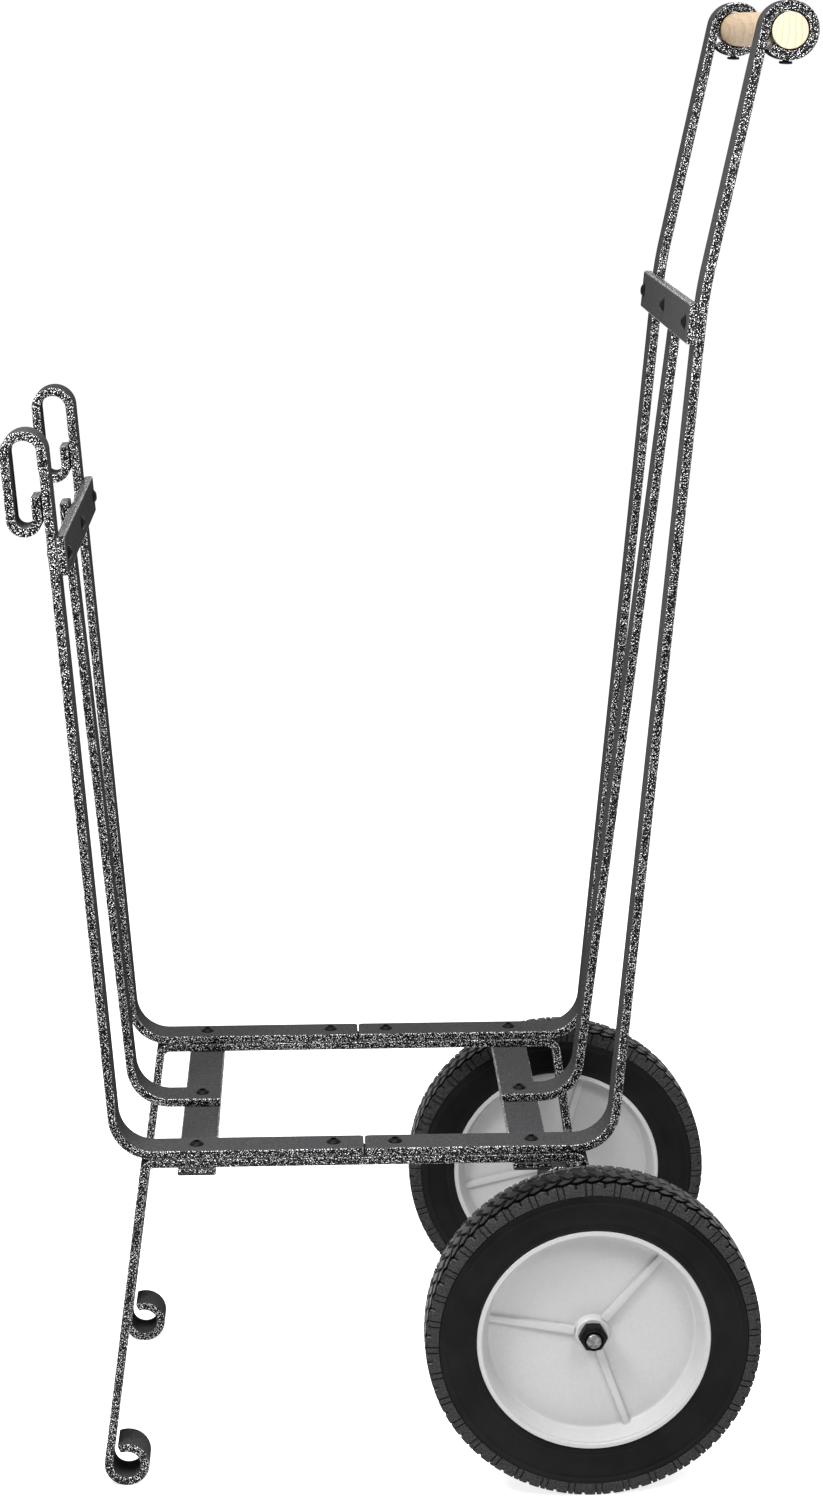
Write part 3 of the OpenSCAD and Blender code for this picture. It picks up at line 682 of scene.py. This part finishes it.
def axle_grid():
    """A round bar with a screw thread at each end: the radius dips with the phase of height and
    angle together, and the tips are chamfered."""
    thread_from = NUT_Y - 2
    tip = [AXLE_END_Y, AXLE_END_Y - 0.3, AXLE_END_Y - AXLE_CHAMFER]
    half = np.concatenate([tip, np.arange(AXLE_END_Y - 1.0, thread_from, -0.22)])
    y = np.concatenate([-half, np.linspace(-thread_from, thread_from, 60)[1:-1], half[::-1]])
    angle = np.linspace(0, 2 * pi, 48, endpoint=False)
    phase = (y[:, None] / AXLE_PITCH + angle[None, :] / (2 * pi)) % 1
    dip = AXLE_THREAD_DEPTH * (1 - np.abs(2 * phase - 1)) * (np.abs(y) > thread_from)[:, None]
    cut = np.clip(np.abs(y) - (AXLE_END_Y - AXLE_CHAMFER), 0, None)
    radius = AXLE_R - np.maximum(dip, cut[:, None])
    return about_axle(1, radius, angle, y[:, None])


def ring_grid(side, from_y, to_y, inner_r, outer_r, edge):
    """A sleeve round the axle with eased edges."""
    profile = [(inner_r, from_y + edge), (inner_r + edge, from_y), (outer_r - edge, from_y)]
    profile += [(outer_r, from_y + edge), (outer_r, to_y - edge), (outer_r - edge, to_y)]
    profile += [(inner_r + edge, to_y), (inner_r, to_y - edge)]
    return turned(profile, 64, (WHEEL_X, 0, TYRE_R), (0, side, 0))


def make_axle_parts(steel, black, plastic):
    """The axle, its bushes in the rear curls, washers and nuts."""
    bore = AXLE_R + AXLE_PLAY
    frame_y = FRAME_W / 2
    bush_r = CURL_R - BAR_T / 2 - AXLE_PLAY
    sides = (-1, 1)
    finish_piece(skin("axle_rod", [axle_grid()], crease=30), steel, "axle_steel", "axle")
    washers = [ring_grid(s, WASHER_Y, WASHER_Y + WASHER_T, bore, WASHER_R, 0.3) for s in sides]
    piece = skin("axle_washers_turned", washers, caps=False, crease=30)
    finish_piece(piece, steel, "axle_steel", "axle_washers")
    bushes = [ring_grid(s, frame_y - BAR_W, frame_y, bore, bush_r, 0.4) for s in sides]
    piece = skin("axle_bushes_moulded", bushes, caps=False, crease=30)
    finish_piece(piece, plastic, "bush_plastic", "axle_bushes")
    nuts = skin("axle_nuts_hexagon", [nut_grid(s) for s in sides], caps=False, crease=25)
    finish_piece(nuts, black, "screw_black", "axle_nuts")


# ---- Wheels ----

RIBS = 3
RIB_ANGLE = {"left": 50.0, "right": 74.0}
RIB_TOP_ROOT = 5.6
RIB_TOP_TIP = 4.4
RIB_BASE_EXTRA = 1.3
RIB_H = 3.0
RIB_GAP_LINES = 44
RIM_LIP = 3.5
RIM_DRAFT = 5.5
TREAD_REPEATS = 36
TREAD_HALF = 18.6
TREAD_DEPTH = 3.8
CARVE_IN = 16.0
CROWN_R = 180.0
# A zigzag groove: its distance from the middle of the tread, swing, half width and wall
OUTER_GROOVE = (15.7, 1.3, 1.5, 0.5)
INNER_GROOVE = (6.0, 1.8, 0.9, 0.4)
CROSS_GROOVE = (0.9, 0.4)
CENTRE_GROOVE = (0.55, 0.5)
CROSS_SLANT = 0.8
CENTRE_SLANT = 0.7
MIDDLE_ROW_END = 16.3
EDGE_ROW_START = 17.4
# Sipes and notches in the shoulder: their places and half widths are shares of a repeat
SHOULDER_DEPTH = 2.0
SIPE_TURNS = (0.0, 0.22)
SIPE_HALF = (0.018, 0.03)
NOTCH_TURN = 0.56
NOTCH_HALF = 0.02
NOTCH_BELOW = 4.2
# How grey the crown is beside the shoulder, and how deep a groove has to be before its painted
# shade turns it black
CROWN_GREY = 0.07
GROOVE_SHADE_DEPTH = 1.2


def hub_face():
    """Half section of the hub from the boss face outwards, as (radius, height from the disc's
    middle): chamfered boss, filleted disc, draughted wall with a small step, and flat lip."""
    half_disc = DISC_T / 2
    half_rim = RIM_W / 2
    wall_r = RIM_R - RIM_LIP
    foot_r = wall_r - RIM_DRAFT
    rows = [(BOSS_ROOT_R - 0.2, half_disc + 1.0)]
    rows += rounded_corner((BOSS_ROOT_R + 0.7, half_disc + 0.9), 0.9, 190, 270, 5)[1:]
    rows += [(r, half_disc) for r in np.linspace(BOSS_ROOT_R + 2.0, foot_r - 2.2, 24)]
    rows += [(foot_r + r, half_disc + z) for r, z in ((-1.2, 0.25), (-0.3, 1.0), (0.3, 2.4))]
    top = half_rim - 2.4
    low = half_disc + 2.4
    rise = np.linspace(0, 1, 9)[1:]
    rows += [(foot_r + 0.3 + (RIM_DRAFT - 1.2) * k, low + (top - low) * k) for k in rise]
    rows += [(wall_r - 0.35, top + 0.2), (wall_r - 0.25, half_rim - 0.5), (wall_r + 0.15, half_rim)]
    rows += [(RIM_R - 0.5, half_rim), (RIM_R, half_rim - 0.5)]
    return rows


def hub_angles(side, radius):
    """Angles of the hub's grid lines at a radius. In each third, six lines follow the rib's base
    and top edges, and the rest are spread evenly up to the next rib."""
    reach = np.maximum(radius, BOSS_R)
    share = (reach - BOSS_R) / (RIM_R - BOSS_R)
    top = (RIB_TOP_ROOT + (RIB_TOP_TIP - RIB_TOP_ROOT) * share) / 2
    base = top + RIB_BASE_EXTRA / 2
    offsets = np.stack([-base, -top, -top * 0.8, top * 0.8, top, base], -1)
    rib = np.arcsin(offsets / reach[:, None])
    third = 2 * pi / 3
    spread = np.linspace(0, 1, RIB_GAP_LINES + 2)[1:-1]
    start = rib[:, -1:]
    between = start + (third + rib[:, :1] - start) * spread
    sector = np.concatenate([rib, between], -1)
    first = radians(RIB_ANGLE["left" if side < 0 else "right"]) - TIP
    turns = [sector + first + k * third for k in range(RIBS)]
    height = np.concatenate([[0, 0.93, 1, 1, 0.93, 0], np.zeros(RIB_GAP_LINES)])
    return np.concatenate(turns, -1), np.tile(height, RIBS)


def hub_grid(side):
    """The wheel's hub: the face section with the ribs raised from the disc, the rim's seat, the
    same face on the inner side, and the bore."""
    face = np.array(hub_face())
    boss_out = BOSS_OUT_Y - WHEEL_Y
    boss_in = BOSS_IN_Y - WHEEL_Y
    bore = AXLE_R + AXLE_PLAY
    middle = (BOSS_R + BOSS_ROOT_R) / 2
    boss = [(bore, boss_out - 0.8), (bore + 0.8, boss_out), (BOSS_R - 0.6, boss_out)]
    boss += [(BOSS_R, boss_out - 0.5), (middle, DISC_T / 2 + 2.4), (middle + 0.4, DISC_T / 2 + 1.6)]
    back = [(middle + 0.4, -DISC_T / 2 - 2), (middle, -DISC_T / 2 - 8), (BOSS_R, boss_in + 0.6)]
    back += [(BOSS_R - 0.6, boss_in), (bore + 0.8, boss_in), (bore, boss_in + 0.8)]
    mirrored = face[::-1] * np.array([1, -1])
    profile = np.concatenate([boss, face, mirrored, back])
    way = np.repeat([0, 1, -1, 0], [len(boss), len(face), len(face), len(back)])[:, None]
    angle, rib = hub_angles(side, profile[:, 0])
    height = profile[:, 1:]
    level = (DISC_T / 2 + RIB_H * rib) * (rib > 0)
    raised = np.where(way == 0, height, way * np.maximum(way * height, level))
    return about_axle(side, profile[:, :1], angle, WHEEL_Y + raised)


def tyre_half():
    """Half section of the tyre as (radius, height): double bead line, smooth wall, ridged band,
    sloping shoulder and half of the crown's arc."""
    wall = [
        (0, 12.0), (0, 17.6), (0.9, 18.3), (1.9, 18.4), (2.5, 18.9), (3.2, 18.5), (4.0, 18.6),
        (4.6, 19.05), (5.3, 18.7), (8, 19.2), (12, 19.5), (17, 19.55), (21.4, 19.35),
        (22.4, 19.5), (23.2, 19.95), (24.0, 19.95), (24.6, 19.6), (26.8, 19.4), (27.4, 19.4),
        (28.0, 19.1), (28.4, 18.6),
    ]
    wall = [(RIM_R + out, y) for out, y in wall]
    rise = np.linspace(RIM_R + 28.8, TYRE_R - 1.1, 11)
    side = np.interp(rise, [RIM_R + 28.8, RIM_R + 33, TYRE_R - 1.1], [19.5, 19.4, TREAD_HALF])
    shoulder = list(zip(rise.tolist(), side.tolist()))
    across = np.linspace(TREAD_HALF - 0.3, 0, 23)
    crown = [(TYRE_R - CROWN_R + (CROWN_R**2 - y * y) ** 0.5, y) for y in across]
    return np.array(wall + shoulder + crown), len(wall), len(shoulder)


def zigzag(value):
    """A triangle wave from -1 to 1 with a period of 1."""
    return 4 * np.abs(value % 1 - 0.5) - 1


def line_depth(distance, half_width, ease):
    """1 inside a groove, easing to 0 over a short distance beyond its half width."""
    return smooth_step((half_width + ease - np.abs(distance)) / ease)


def tread_depth(turn, y):
    """Depth of the tread pattern where turn counts repeats round the tyre and y crosses it.
    Four zigzag grooves part the tread in five rows. The middle three are cut into slanting
    blocks, and the outer two belong to the shoulders."""
    arc = 2 * pi * TYRE_R / TREAD_REPEATS
    reach = np.abs(y)
    wave, opposite = zigzag(2 * turn), zigzag(2 * turn + 0.5)
    grooves = [
        line_depth(reach - away - swing * bend, half, wall)
        for (away, swing, half, wall), bend in ((OUTER_GROOVE, wave), (INNER_GROOVE, opposite))
    ]
    slant = ((turn * arc - CROSS_SLANT * reach) / (arc / 2)) % 1 - 0.5
    lean = ((turn * arc + CENTRE_SLANT * y) / (arc / 2) + 0.5) % 1 - 0.5
    central = reach <= INNER_GROOVE[0]
    cross = line_depth(slant * arc / 2, *CROSS_GROOVE) * (~central & (reach < MIDDLE_ROW_END))
    centre = line_depth(lean * arc / 2, *CENTRE_GROOVE) * central
    return np.maximum.reduce([*grooves, cross, centre])


def repeat_turns():
    """Places of the grid lines in one repeat: four at each sipe, the others even between."""
    near, far = SIPE_HALF
    first, second = SIPE_TURNS
    edge = [-far, -near, near, far]
    short = np.linspace(first + far, second - far, 5)[1:-1]
    long = np.linspace(second + far, 1 - far, 16)[1:-1]
    return np.concatenate([np.array(edge) + first, short, np.array(edge) + second, long])


def tyre_grid(side):
    """The tyre: its section carried round the wheel, less the depth of tread, sipes and notches,
    all carved towards a point of the section's middle line that lies CARVE_IN below the tread."""
    half, wall_count, shoulder_count = tyre_half()
    section = np.concatenate([half * np.array([1, -1]), half[-2::-1]])
    crown_count = len(half) - wall_count - shoulder_count
    zone = np.repeat([0, 1, 2], [wall_count, shoulder_count, crown_count])
    zone = np.concatenate([zone, zone[-2::-1]])[:, None]
    turn = (np.arange(TREAD_REPEATS)[:, None] + repeat_turns()[None, :]).ravel()
    radius, y = section[:, :1], section[:, 1:]
    mirror_turn = np.where(y > 0, turn[None, :], turn[None, :] + 0.5)
    tread = TREAD_DEPTH * tread_depth(mirror_turn, y) * (zone == 2)
    place = mirror_turn % 1
    near, far = SIPE_HALF
    sipe = sum(line_depth((place - s + 0.5) % 1 - 0.5, near, far - near) for s in SIPE_TURNS)
    notch = line_depth(place - NOTCH_TURN, NOTCH_HALF, NOTCH_HALF) * (radius > TYRE_R - NOTCH_BELOW)
    edge_row = (zone == 1) | ((zone == 2) & (np.abs(y) > EDGE_ROW_START))
    shoulder = SHOULDER_DEPTH * np.clip(sipe + notch, 0, 1) * edge_row
    way = np.array([TYRE_R - CARVE_IN, 0]) - section
    way = way / np.linalg.norm(way, axis=1, keepdims=True)
    depth = tread + shoulder
    radius = radius + way[:, :1] * depth
    y = y + way[:, 1:] * depth
    angle = turn[None, :] * 2 * pi / TREAD_REPEATS
    raised = np.where(edge_row, 1.0, CROWN_GREY * (zone == 2))
    # painted shade: the blocks' grey falls towards black with the depth of a groove, sipe or notch
    blocks = raised * (1 - 0.95 * np.clip(depth / GROOVE_SHADE_DEPTH, 0, 1))
    return about_axle(side, radius, angle, WHEEL_Y + y), blocks


def make_wheels(rubber, plastic):
    """Both wheels: hub and tyre ride on the wheel's own body."""
    for side, way in SIDES.items():
        body = f"wheel_{side}"
        hub = skin(f"wheel_hub_{side}_moulded", [hub_grid(way)], caps=False, crease=28)
        nodes = (f"wheel_disc_{side}", f"wheel_rim_{side}", f"wheel_boss_{side}")
        finish_piece(hub, plastic, "hub_plastic", *nodes, body=body)
        grid, blocks = tyre_grid(way)
        tyre = skin(f"tyre_{side}_tread", [grid], caps=False, crease=38, marks={"blocks": [blocks]})
        finish_piece(tyre, rubber, "tyre_rubber", f"tyre_{side}", body=body)


# ---- Handle ----


def make_handle(wood):
    """The turned dowel: a cylinder with eased ends, its axis along Y."""
    half = FRAME_W / 2
    ease = 0.9
    profile = [(1.0, -half), (HANDLE_R - ease, -half)]
    profile += rounded_corner((HANDLE_R - ease, -half + ease), ease, -90, 0, 6)[1:]
    profile += [(HANDLE_R, y) for y in np.linspace(-half + 4, half - 4, 30)]
    profile += rounded_corner((HANDLE_R - ease, half - ease), ease, 0, 90, 6)
    profile += [(1.0, half)]
    grid = on_tray(turned(profile, 96, (HANDLE_X, 0, HANDLE_Z), (0, 1, 0)))
    dowel = skin("handle_dowel_turned", [grid], crease=50)
    finish_piece(dowel, wood, "handle_wood", "handle_dowel")


# ---- Materials ----


def colour(code):
    """Linear red, green, blue and alpha of an sRGB hex colour."""
    share = np.array([int(code[k : k + 2], 16) for k in (1, 3, 5)]) / 255
    linear = np.where(share <= 0.04045, share / 12.92, ((share + 0.055) / 1.055) ** 2.4)
    return (*linear.tolist(), 1.0)


def per_mm(size):
    """Scale of a texture on metre coordinates whose features are a size in millimetres."""
    return 1 / (size * MM)


def add_node(tree, kind, links=None, stops=None, out=0, **settings):
    """Adds a node and returns one of its outputs, or all of them if out is None. links maps its
    inputs to sockets or values, and stops are a ramp's colours."""
    made = tree.nodes.new(f"ShaderNode{kind}")
    for key, value in settings.items():
        setattr(made, key, value)
    for key, value in (links or {}).items():
        socket = made.inputs[key]
        if isinstance(value, bpy.types.NodeSocket):
            tree.links.new(value, socket)
        else:
            socket.default_value = value
    for k, (place, code) in enumerate(stops or []):
        ramp = made.color_ramp.elements
        stop = ramp[k] if k < 2 else ramp.new(place)
        stop.position = place
        stop.color = colour(code)
    return made.outputs if out is None else made.outputs[out]


def empty_tree(owner):
    """The node tree of a material or a world, without nodes."""
    owner.use_nodes = True
    owner.node_tree.nodes.clear()
    return owner.node_tree


def new_material(name):
    """An empty material, its tree and the object's coordinates."""
    material = bpy.data.materials.new(name)
    tree = empty_tree(material)
    return material, tree, add_node(tree, "TexCoord", out="Object")


def finish_material(material, inputs):
    """Ends a material's tree with its shader, whose own sockets take the inputs."""
    tree = material.node_tree
    shader = add_node(tree, "BsdfPrincipled", inputs)
    add_node(tree, "OutputMaterial", {"Surface": shader}, out=None)
    return material


def hammertone_enamel():
    """Hammertone enamel, sprayed and baked: it dries to a smooth dark grey on the wide faces and
    breaks into silver flake over black on the narrow edges, brightened by a painted highlight along
    the corners."""
    material, tree, place = new_material("hammertone_enamel")
    narrow = add_node(tree, "Attribute", out="Fac", attribute_name="narrow")
    # one flake is about 0.4 mm across
    flake = add_node(
        tree, "TexNoise", {"Vector": place, "Scale": per_mm(0.75), "Detail": 1.0, "Roughness": 0.5}
    )
    fine = add_node(
        tree, "TexNoise", {"Vector": place, "Scale": per_mm(1.6), "Detail": 2.0, "Roughness": 0.6}
    )
    wide = add_node(tree, "Math", {0: 1.0, 1: narrow}, operation="SUBTRACT")
    # painted highlight: the flake is lifted where the narrow faces round into the wide ones, along
    # the corners
    corner = add_node(tree, "Math", {0: narrow, 1: wide}, operation="MULTIPLY")
    flake_and_corner_highlight = add_node(tree, "Math", {0: corner, 1: 0.2, 2: flake}, operation="MULTIPLY_ADD")
    sparkle = add_node(
        tree, "ValToRGB", {"Fac": flake_and_corner_highlight},
        stops=[(0.52, "#020203"), (0.59, "#101012"), (0.64, "#5e5e60"), (0.69, "#ffffff")],
    )
    even = add_node(tree, "ValToRGB", {"Fac": fine}, stops=[(0.35, "#303031"), (0.65, "#3d3d3e")])
    share = add_node(tree, "Math", {0: narrow, 1: 2.5}, operation="MULTIPLY", use_clamp=True)
    paint = add_node(tree, "Mix", {0: share, 6: even, 7: sparkle}, out=2, data_type="RGBA")
    metal = add_node(tree, "Math", {0: narrow, 1: 0.3}, operation="MULTIPLY")
    shine = add_node(tree, "Math", {0: narrow, 1: 0.1}, operation="MULTIPLY")
    height = add_node(tree, "Math", {0: flake, 1: share}, operation="MULTIPLY")
    bump = add_node(tree, "Bump", {"Height": height, "Strength": 0.5, "Distance": 0.2 * MM})
    return finish_material(
        material,
        {
            "Base Color": paint, "Metallic": metal, "Roughness": 0.36,
            "Specular IOR Level": shine, "Normal": bump,
        },
    )


def black_oxide():
    """Black oxide on turned steel screws and nuts: a dark satin that keeps small highlights."""
    material, tree, place = new_material("black_oxide_steel")
    grain = add_node(tree, "TexNoise", {"Vector": place, "Scale": per_mm(0.8), "Detail": 3.0})
    tone = add_node(tree, "ValToRGB", {"Fac": grain}, stops=[(0.35, "#030304"), (0.7, "#0c0c0d")])
    bump = add_node(tree, "Bump", {"Height": grain, "Strength": 0.3, "Distance": 0.05 * MM})
    return finish_material(
        material,
        {
            "Base Color": tone, "Metallic": 0.2, "Roughness": 0.45,
            "Specular IOR Level": 0.08, "Normal": bump,
        },
    )


def zinc_plate():
    """Bright zinc plate on drawn steel: a light metal with faint streaks round the bar."""
    material, tree, place = new_material("zinc_plated_steel")
    stretch = add_node(tree, "Mapping", {"Vector": place, "Scale": (1, 9, 1)})
    streak = add_node(tree, "TexNoise", {"Vector": stretch, "Scale": per_mm(3.0), "Detail": 3.0})
    tone = add_node(tree, "ValToRGB", {"Fac": streak}, stops=[(0.3, "#2e2e2f"), (0.7, "#6e6e6f")])
    return finish_material(material, {"Base Color": tone, "Metallic": 1.0, "Roughness": 0.28})


def moulded_plastic(name, dark, light, rough):
    """Injection moulded polypropylene: an even satin with the fine grain of an etched mould."""
    material, tree, place = new_material(name)
    mottle = add_node(tree, "TexNoise", {"Vector": place, "Scale": per_mm(3), "Detail": 3.0})
    tone = add_node(tree, "ValToRGB", {"Fac": mottle}, stops=[(0.3, dark), (0.7, light)])
    pores = add_node(tree, "TexNoise", {"Vector": place, "Scale": per_mm(0.7), "Detail": 2.0})
    bump = add_node(tree, "Bump", {"Height": pores, "Strength": 0.15, "Distance": 0.05 * MM})
    return finish_material(material, {"Base Color": tone, "Roughness": rough, "Normal": bump})


def tyre_rubber():
    """Moulded black rubber: a smooth dark wall, and greyer, finely pitted tread blocks."""
    material, tree, place = new_material("moulded_tyre_rubber")
    # blocks is the grey of the tread blocks, with painted shade taking it towards black in the
    # grooves and sipes
    blocks = add_node(tree, "Attribute", out="Fac", attribute_name="blocks")
    pits = add_node(tree, "TexNoise", {"Vector": place, "Scale": per_mm(1.4), "Detail": 3.0})
    cloud = add_node(tree, "TexNoise", {"Vector": place, "Scale": per_mm(35), "Detail": 3.0})
    wall = add_node(tree, "ValToRGB", {"Fac": cloud}, stops=[(0.3, "#080808"), (0.7, "#121213")])
    block = add_node(tree, "ValToRGB", {"Fac": pits}, stops=[(0.3, "#1c1c1d"), (0.7, "#3a3a3b")])
    tone = add_node(tree, "Mix", {0: blocks, 6: wall, 7: block}, out=2, data_type="RGBA")
    rough = add_node(tree, "Math", {0: blocks, 1: 0.3, 2: 0.42}, operation="MULTIPLY_ADD")
    rest = add_node(tree, "Math", {0: 1.0, 1: blocks}, operation="SUBTRACT")
    crown = add_node(tree, "Math", {0: rest, 1: blocks}, operation="MULTIPLY")
    shine = add_node(tree, "Math", {0: crown, 1: 2.0, 2: 0.05}, operation="MULTIPLY_ADD")
    height = add_node(tree, "Math", {0: pits, 1: blocks}, operation="MULTIPLY")
    bump = add_node(tree, "Bump", {"Height": height, "Strength": 0.4, "Distance": 0.15 * MM})
    return finish_material(
        material,
        {"Base Color": tone, "Roughness": rough, "Specular IOR Level": shine, "Normal": bump},
    )


def pine():
    """Sanded pine dowel, sawn from a plank: growth rings about 4.5 mm apart about a pith far to
    one side, so that the end shows near-straight lines and the side long arches."""
    material, tree, place = new_material("sanded_pine")
    handle = on_tray((HANDLE_X, 0, HANDLE_Z)) * MM
    pith = add_node(
        tree, "Mapping",
        {
            "Vector": place,
            "Location": (55 * MM - handle[0], 0.0, -handle[2]),
            "Rotation": (radians(3.5), 0.0, radians(6.0)),
        },
    )
    wander = add_node(tree, "TexNoise", {"Vector": pith, "Scale": per_mm(28), "Detail": 2.0})
    ripple = add_node(tree, "Math", {0: wander, 1: 9.0 * MM}, operation="MULTIPLY")
    axes = add_node(tree, "SeparateXYZ", {"Vector": pith}, out=None)
    square_x = add_node(tree, "Math", {0: axes["X"], 1: axes["X"]}, operation="MULTIPLY")
    square = add_node(
        tree, "Math", {0: axes["Z"], 1: axes["Z"], 2: square_x}, operation="MULTIPLY_ADD"
    )
    away = add_node(tree, "Math", {0: square}, operation="SQRT")
    sway = add_node(tree, "Math", {0: away, 1: ripple}, operation="ADD")
    ring = add_node(tree, "Math", {0: sway, 1: per_mm(4.5)}, operation="MULTIPLY")
    phase = add_node(tree, "Math", {0: ring}, operation="FRACT")
    early, late = "#dfcfb8", "#c6ab8a"
    grain = add_node(
        tree, "ValToRGB", {"Fac": phase},
        stops=[(0.0, early), (0.7, "#dbc8ae"), (0.9, late), (0.96, "#d5bfa0"), (1.0, early)],
    )
    lengthwise = add_node(tree, "Mapping", {"Vector": place, "Scale": (1, 0.04, 1)})
    fibre = add_node(tree, "TexNoise", {"Vector": lengthwise, "Scale": per_mm(0.9), "Detail": 3.0})
    shade = add_node(tree, "ValToRGB", {"Fac": fibre}, stops=[(0.3, "#afa392"), (0.7, "#cbc5bc")])
    multiply = {"out": 2, "data_type": "RGBA", "blend_type": "MULTIPLY"}
    wood = add_node(tree, "Mix", {0: 0.6, 6: grain, 7: shade}, **multiply)
    # painted shade darkens the side, and the sawn ends stay pale
    across = add_node(tree, "SeparateXYZ", {"Vector": place}, out="Y")
    out_y = add_node(tree, "Math", {0: across}, operation="ABSOLUTE")
    end_y = (FRAME_W / 2 - 0.6) * MM
    sawn = add_node(tree, "Math", {0: out_y, 1: end_y}, operation="GREATER_THAN")
    painted_side_shade = add_node(tree, "ValToRGB", {"Fac": sawn}, stops=[(0.0, "#c4bcb2"), (1.0, "#ffffff")])
    wood_with_side_shade = add_node(tree, "Mix", {0: 1.0, 6: wood, 7: painted_side_shade}, **multiply)
    bump = add_node(tree, "Bump", {"Height": fibre, "Strength": 0.25, "Distance": 0.05 * MM})
    return finish_material(material, {"Base Color": wood_with_side_shade, "Roughness": 0.55, "Normal": bump})


# ---- Studio ----

FLOOR_HALF = 30.0
FLOOR_LIFT = 0.8
ROOM_LIGHT = 0.28
LIGHT_AIM = (0.0, 0.0, 0.45)


def seen_ray(tree):
    """1 for a ray from the camera, a mirror or a clear body, and 0 for any other."""
    seen = add_node(tree, "LightPath", out=None)
    rays = {0: seen["Is Camera Ray"], 1: seen["Is Glossy Ray"]}
    direct = add_node(tree, "Math", rays, operation="MAXIMUM")
    return add_node(tree, "Math", {0: direct, 1: seen["Is Transmission Ray"]}, operation="MAXIMUM")


def make_floor():
    """A large plain floor. To the camera it is lifted to white, and it keeps the shadow."""
    half = FLOOR_HALF
    mesh = bpy.data.meshes.new("studio_floor")
    corners = [(-half, -half, 0), (half, -half, 0), (half, half, 0), (-half, half, 0)]
    mesh.from_pydata(corners, [], [(0, 1, 2, 3)])
    floor = link_object("studio_floor", mesh)
    material = bpy.data.materials.new("white_floor")
    tree = empty_tree(material)
    lift = add_node(tree, "Math", {0: seen_ray(tree), 1: FLOOR_LIFT}, operation="MULTIPLY")
    paint = add_node(tree, "BsdfDiffuse", {"Color": colour("#f2f2f2")})
    glow = add_node(tree, "Emission", {"Strength": lift})
    both = add_node(tree, "AddShader", {0: paint, 1: glow})
    add_node(tree, "OutputMaterial", {"Surface": both}, out=None)
    mesh.materials.append(material)


def make_world():
    """A white room: full white where it is seen or mirrored, and dimmer as a light."""
    world = bpy.data.worlds.new("studio")
    bpy.context.scene.world = world
    tree = empty_tree(world)
    seen = {0: seen_ray(tree), 1: 1 - ROOM_LIGHT, 2: ROOM_LIGHT}
    level = add_node(tree, "Math", seen, operation="MULTIPLY_ADD")
    sky = add_node(tree, "Background", {"Color": colour("#ffffff"), "Strength": level})
    add_node(tree, "OutputWorld", {"Surface": sky}, out=None)


def make_light(name, at, size, watts):
    """A square soft light at a place in metres, aimed at the middle of the cart."""
    lamp = bpy.data.lights.new(name, "AREA")
    lamp.shape = "SQUARE"
    lamp.size = size
    lamp.energy = watts
    light = link_object(name, lamp)
    light.location = at
    aim = Vector(LIGHT_AIM) - light.location
    light.rotation_euler = aim.to_track_quat("-Z", "Y").to_euler()


def make_camera():
    """The photograph's camera, from the fit of the frame's corners, curls and wheel."""
    data = bpy.data.cameras.new("camera")
    data.sensor_width = SENSOR_H
    data.lens = FOCAL_PIXELS / PHOTO_H * SENSOR_H
    data.clip_start = 0.05
    data.clip_end = 200
    camera = link_object("camera", data)
    camera.location = Vector(CAMERA_AT) * MM
    camera.rotation_euler = [radians(a) for a in CAMERA_TURN]
    bpy.context.scene.camera = camera


# ---- The cart in its studio ----

bpy.context.scene.view_settings.view_transform = "Standard"
make_camera()
make_floor()
make_world()
make_light("key_light", (-0.25, -0.95, 1.25), 0.4, 4)
make_light("top_light", (0.0, -0.3, 2.2), 1.0, 42)
make_light("hook_light", (-0.5, -0.55, 1.05), 0.3, 13)
make_light("handle_light", (0.5, -0.75, 0.9), 0.3, 5)

make_bars(hammertone_enamel())
black = black_oxide()
make_screws(black)
bush_plastic = moulded_plastic("black_bush_plastic", "#0c0c0c", "#161616", 0.5)
make_axle_parts(zinc_plate(), black, bush_plastic)
hub_plastic = moulded_plastic("grey_hub_plastic", "#9d9d9d", "#a1a1a1", 0.5)
make_wheels(tyre_rubber(), hub_plastic)
make_handle(pine())
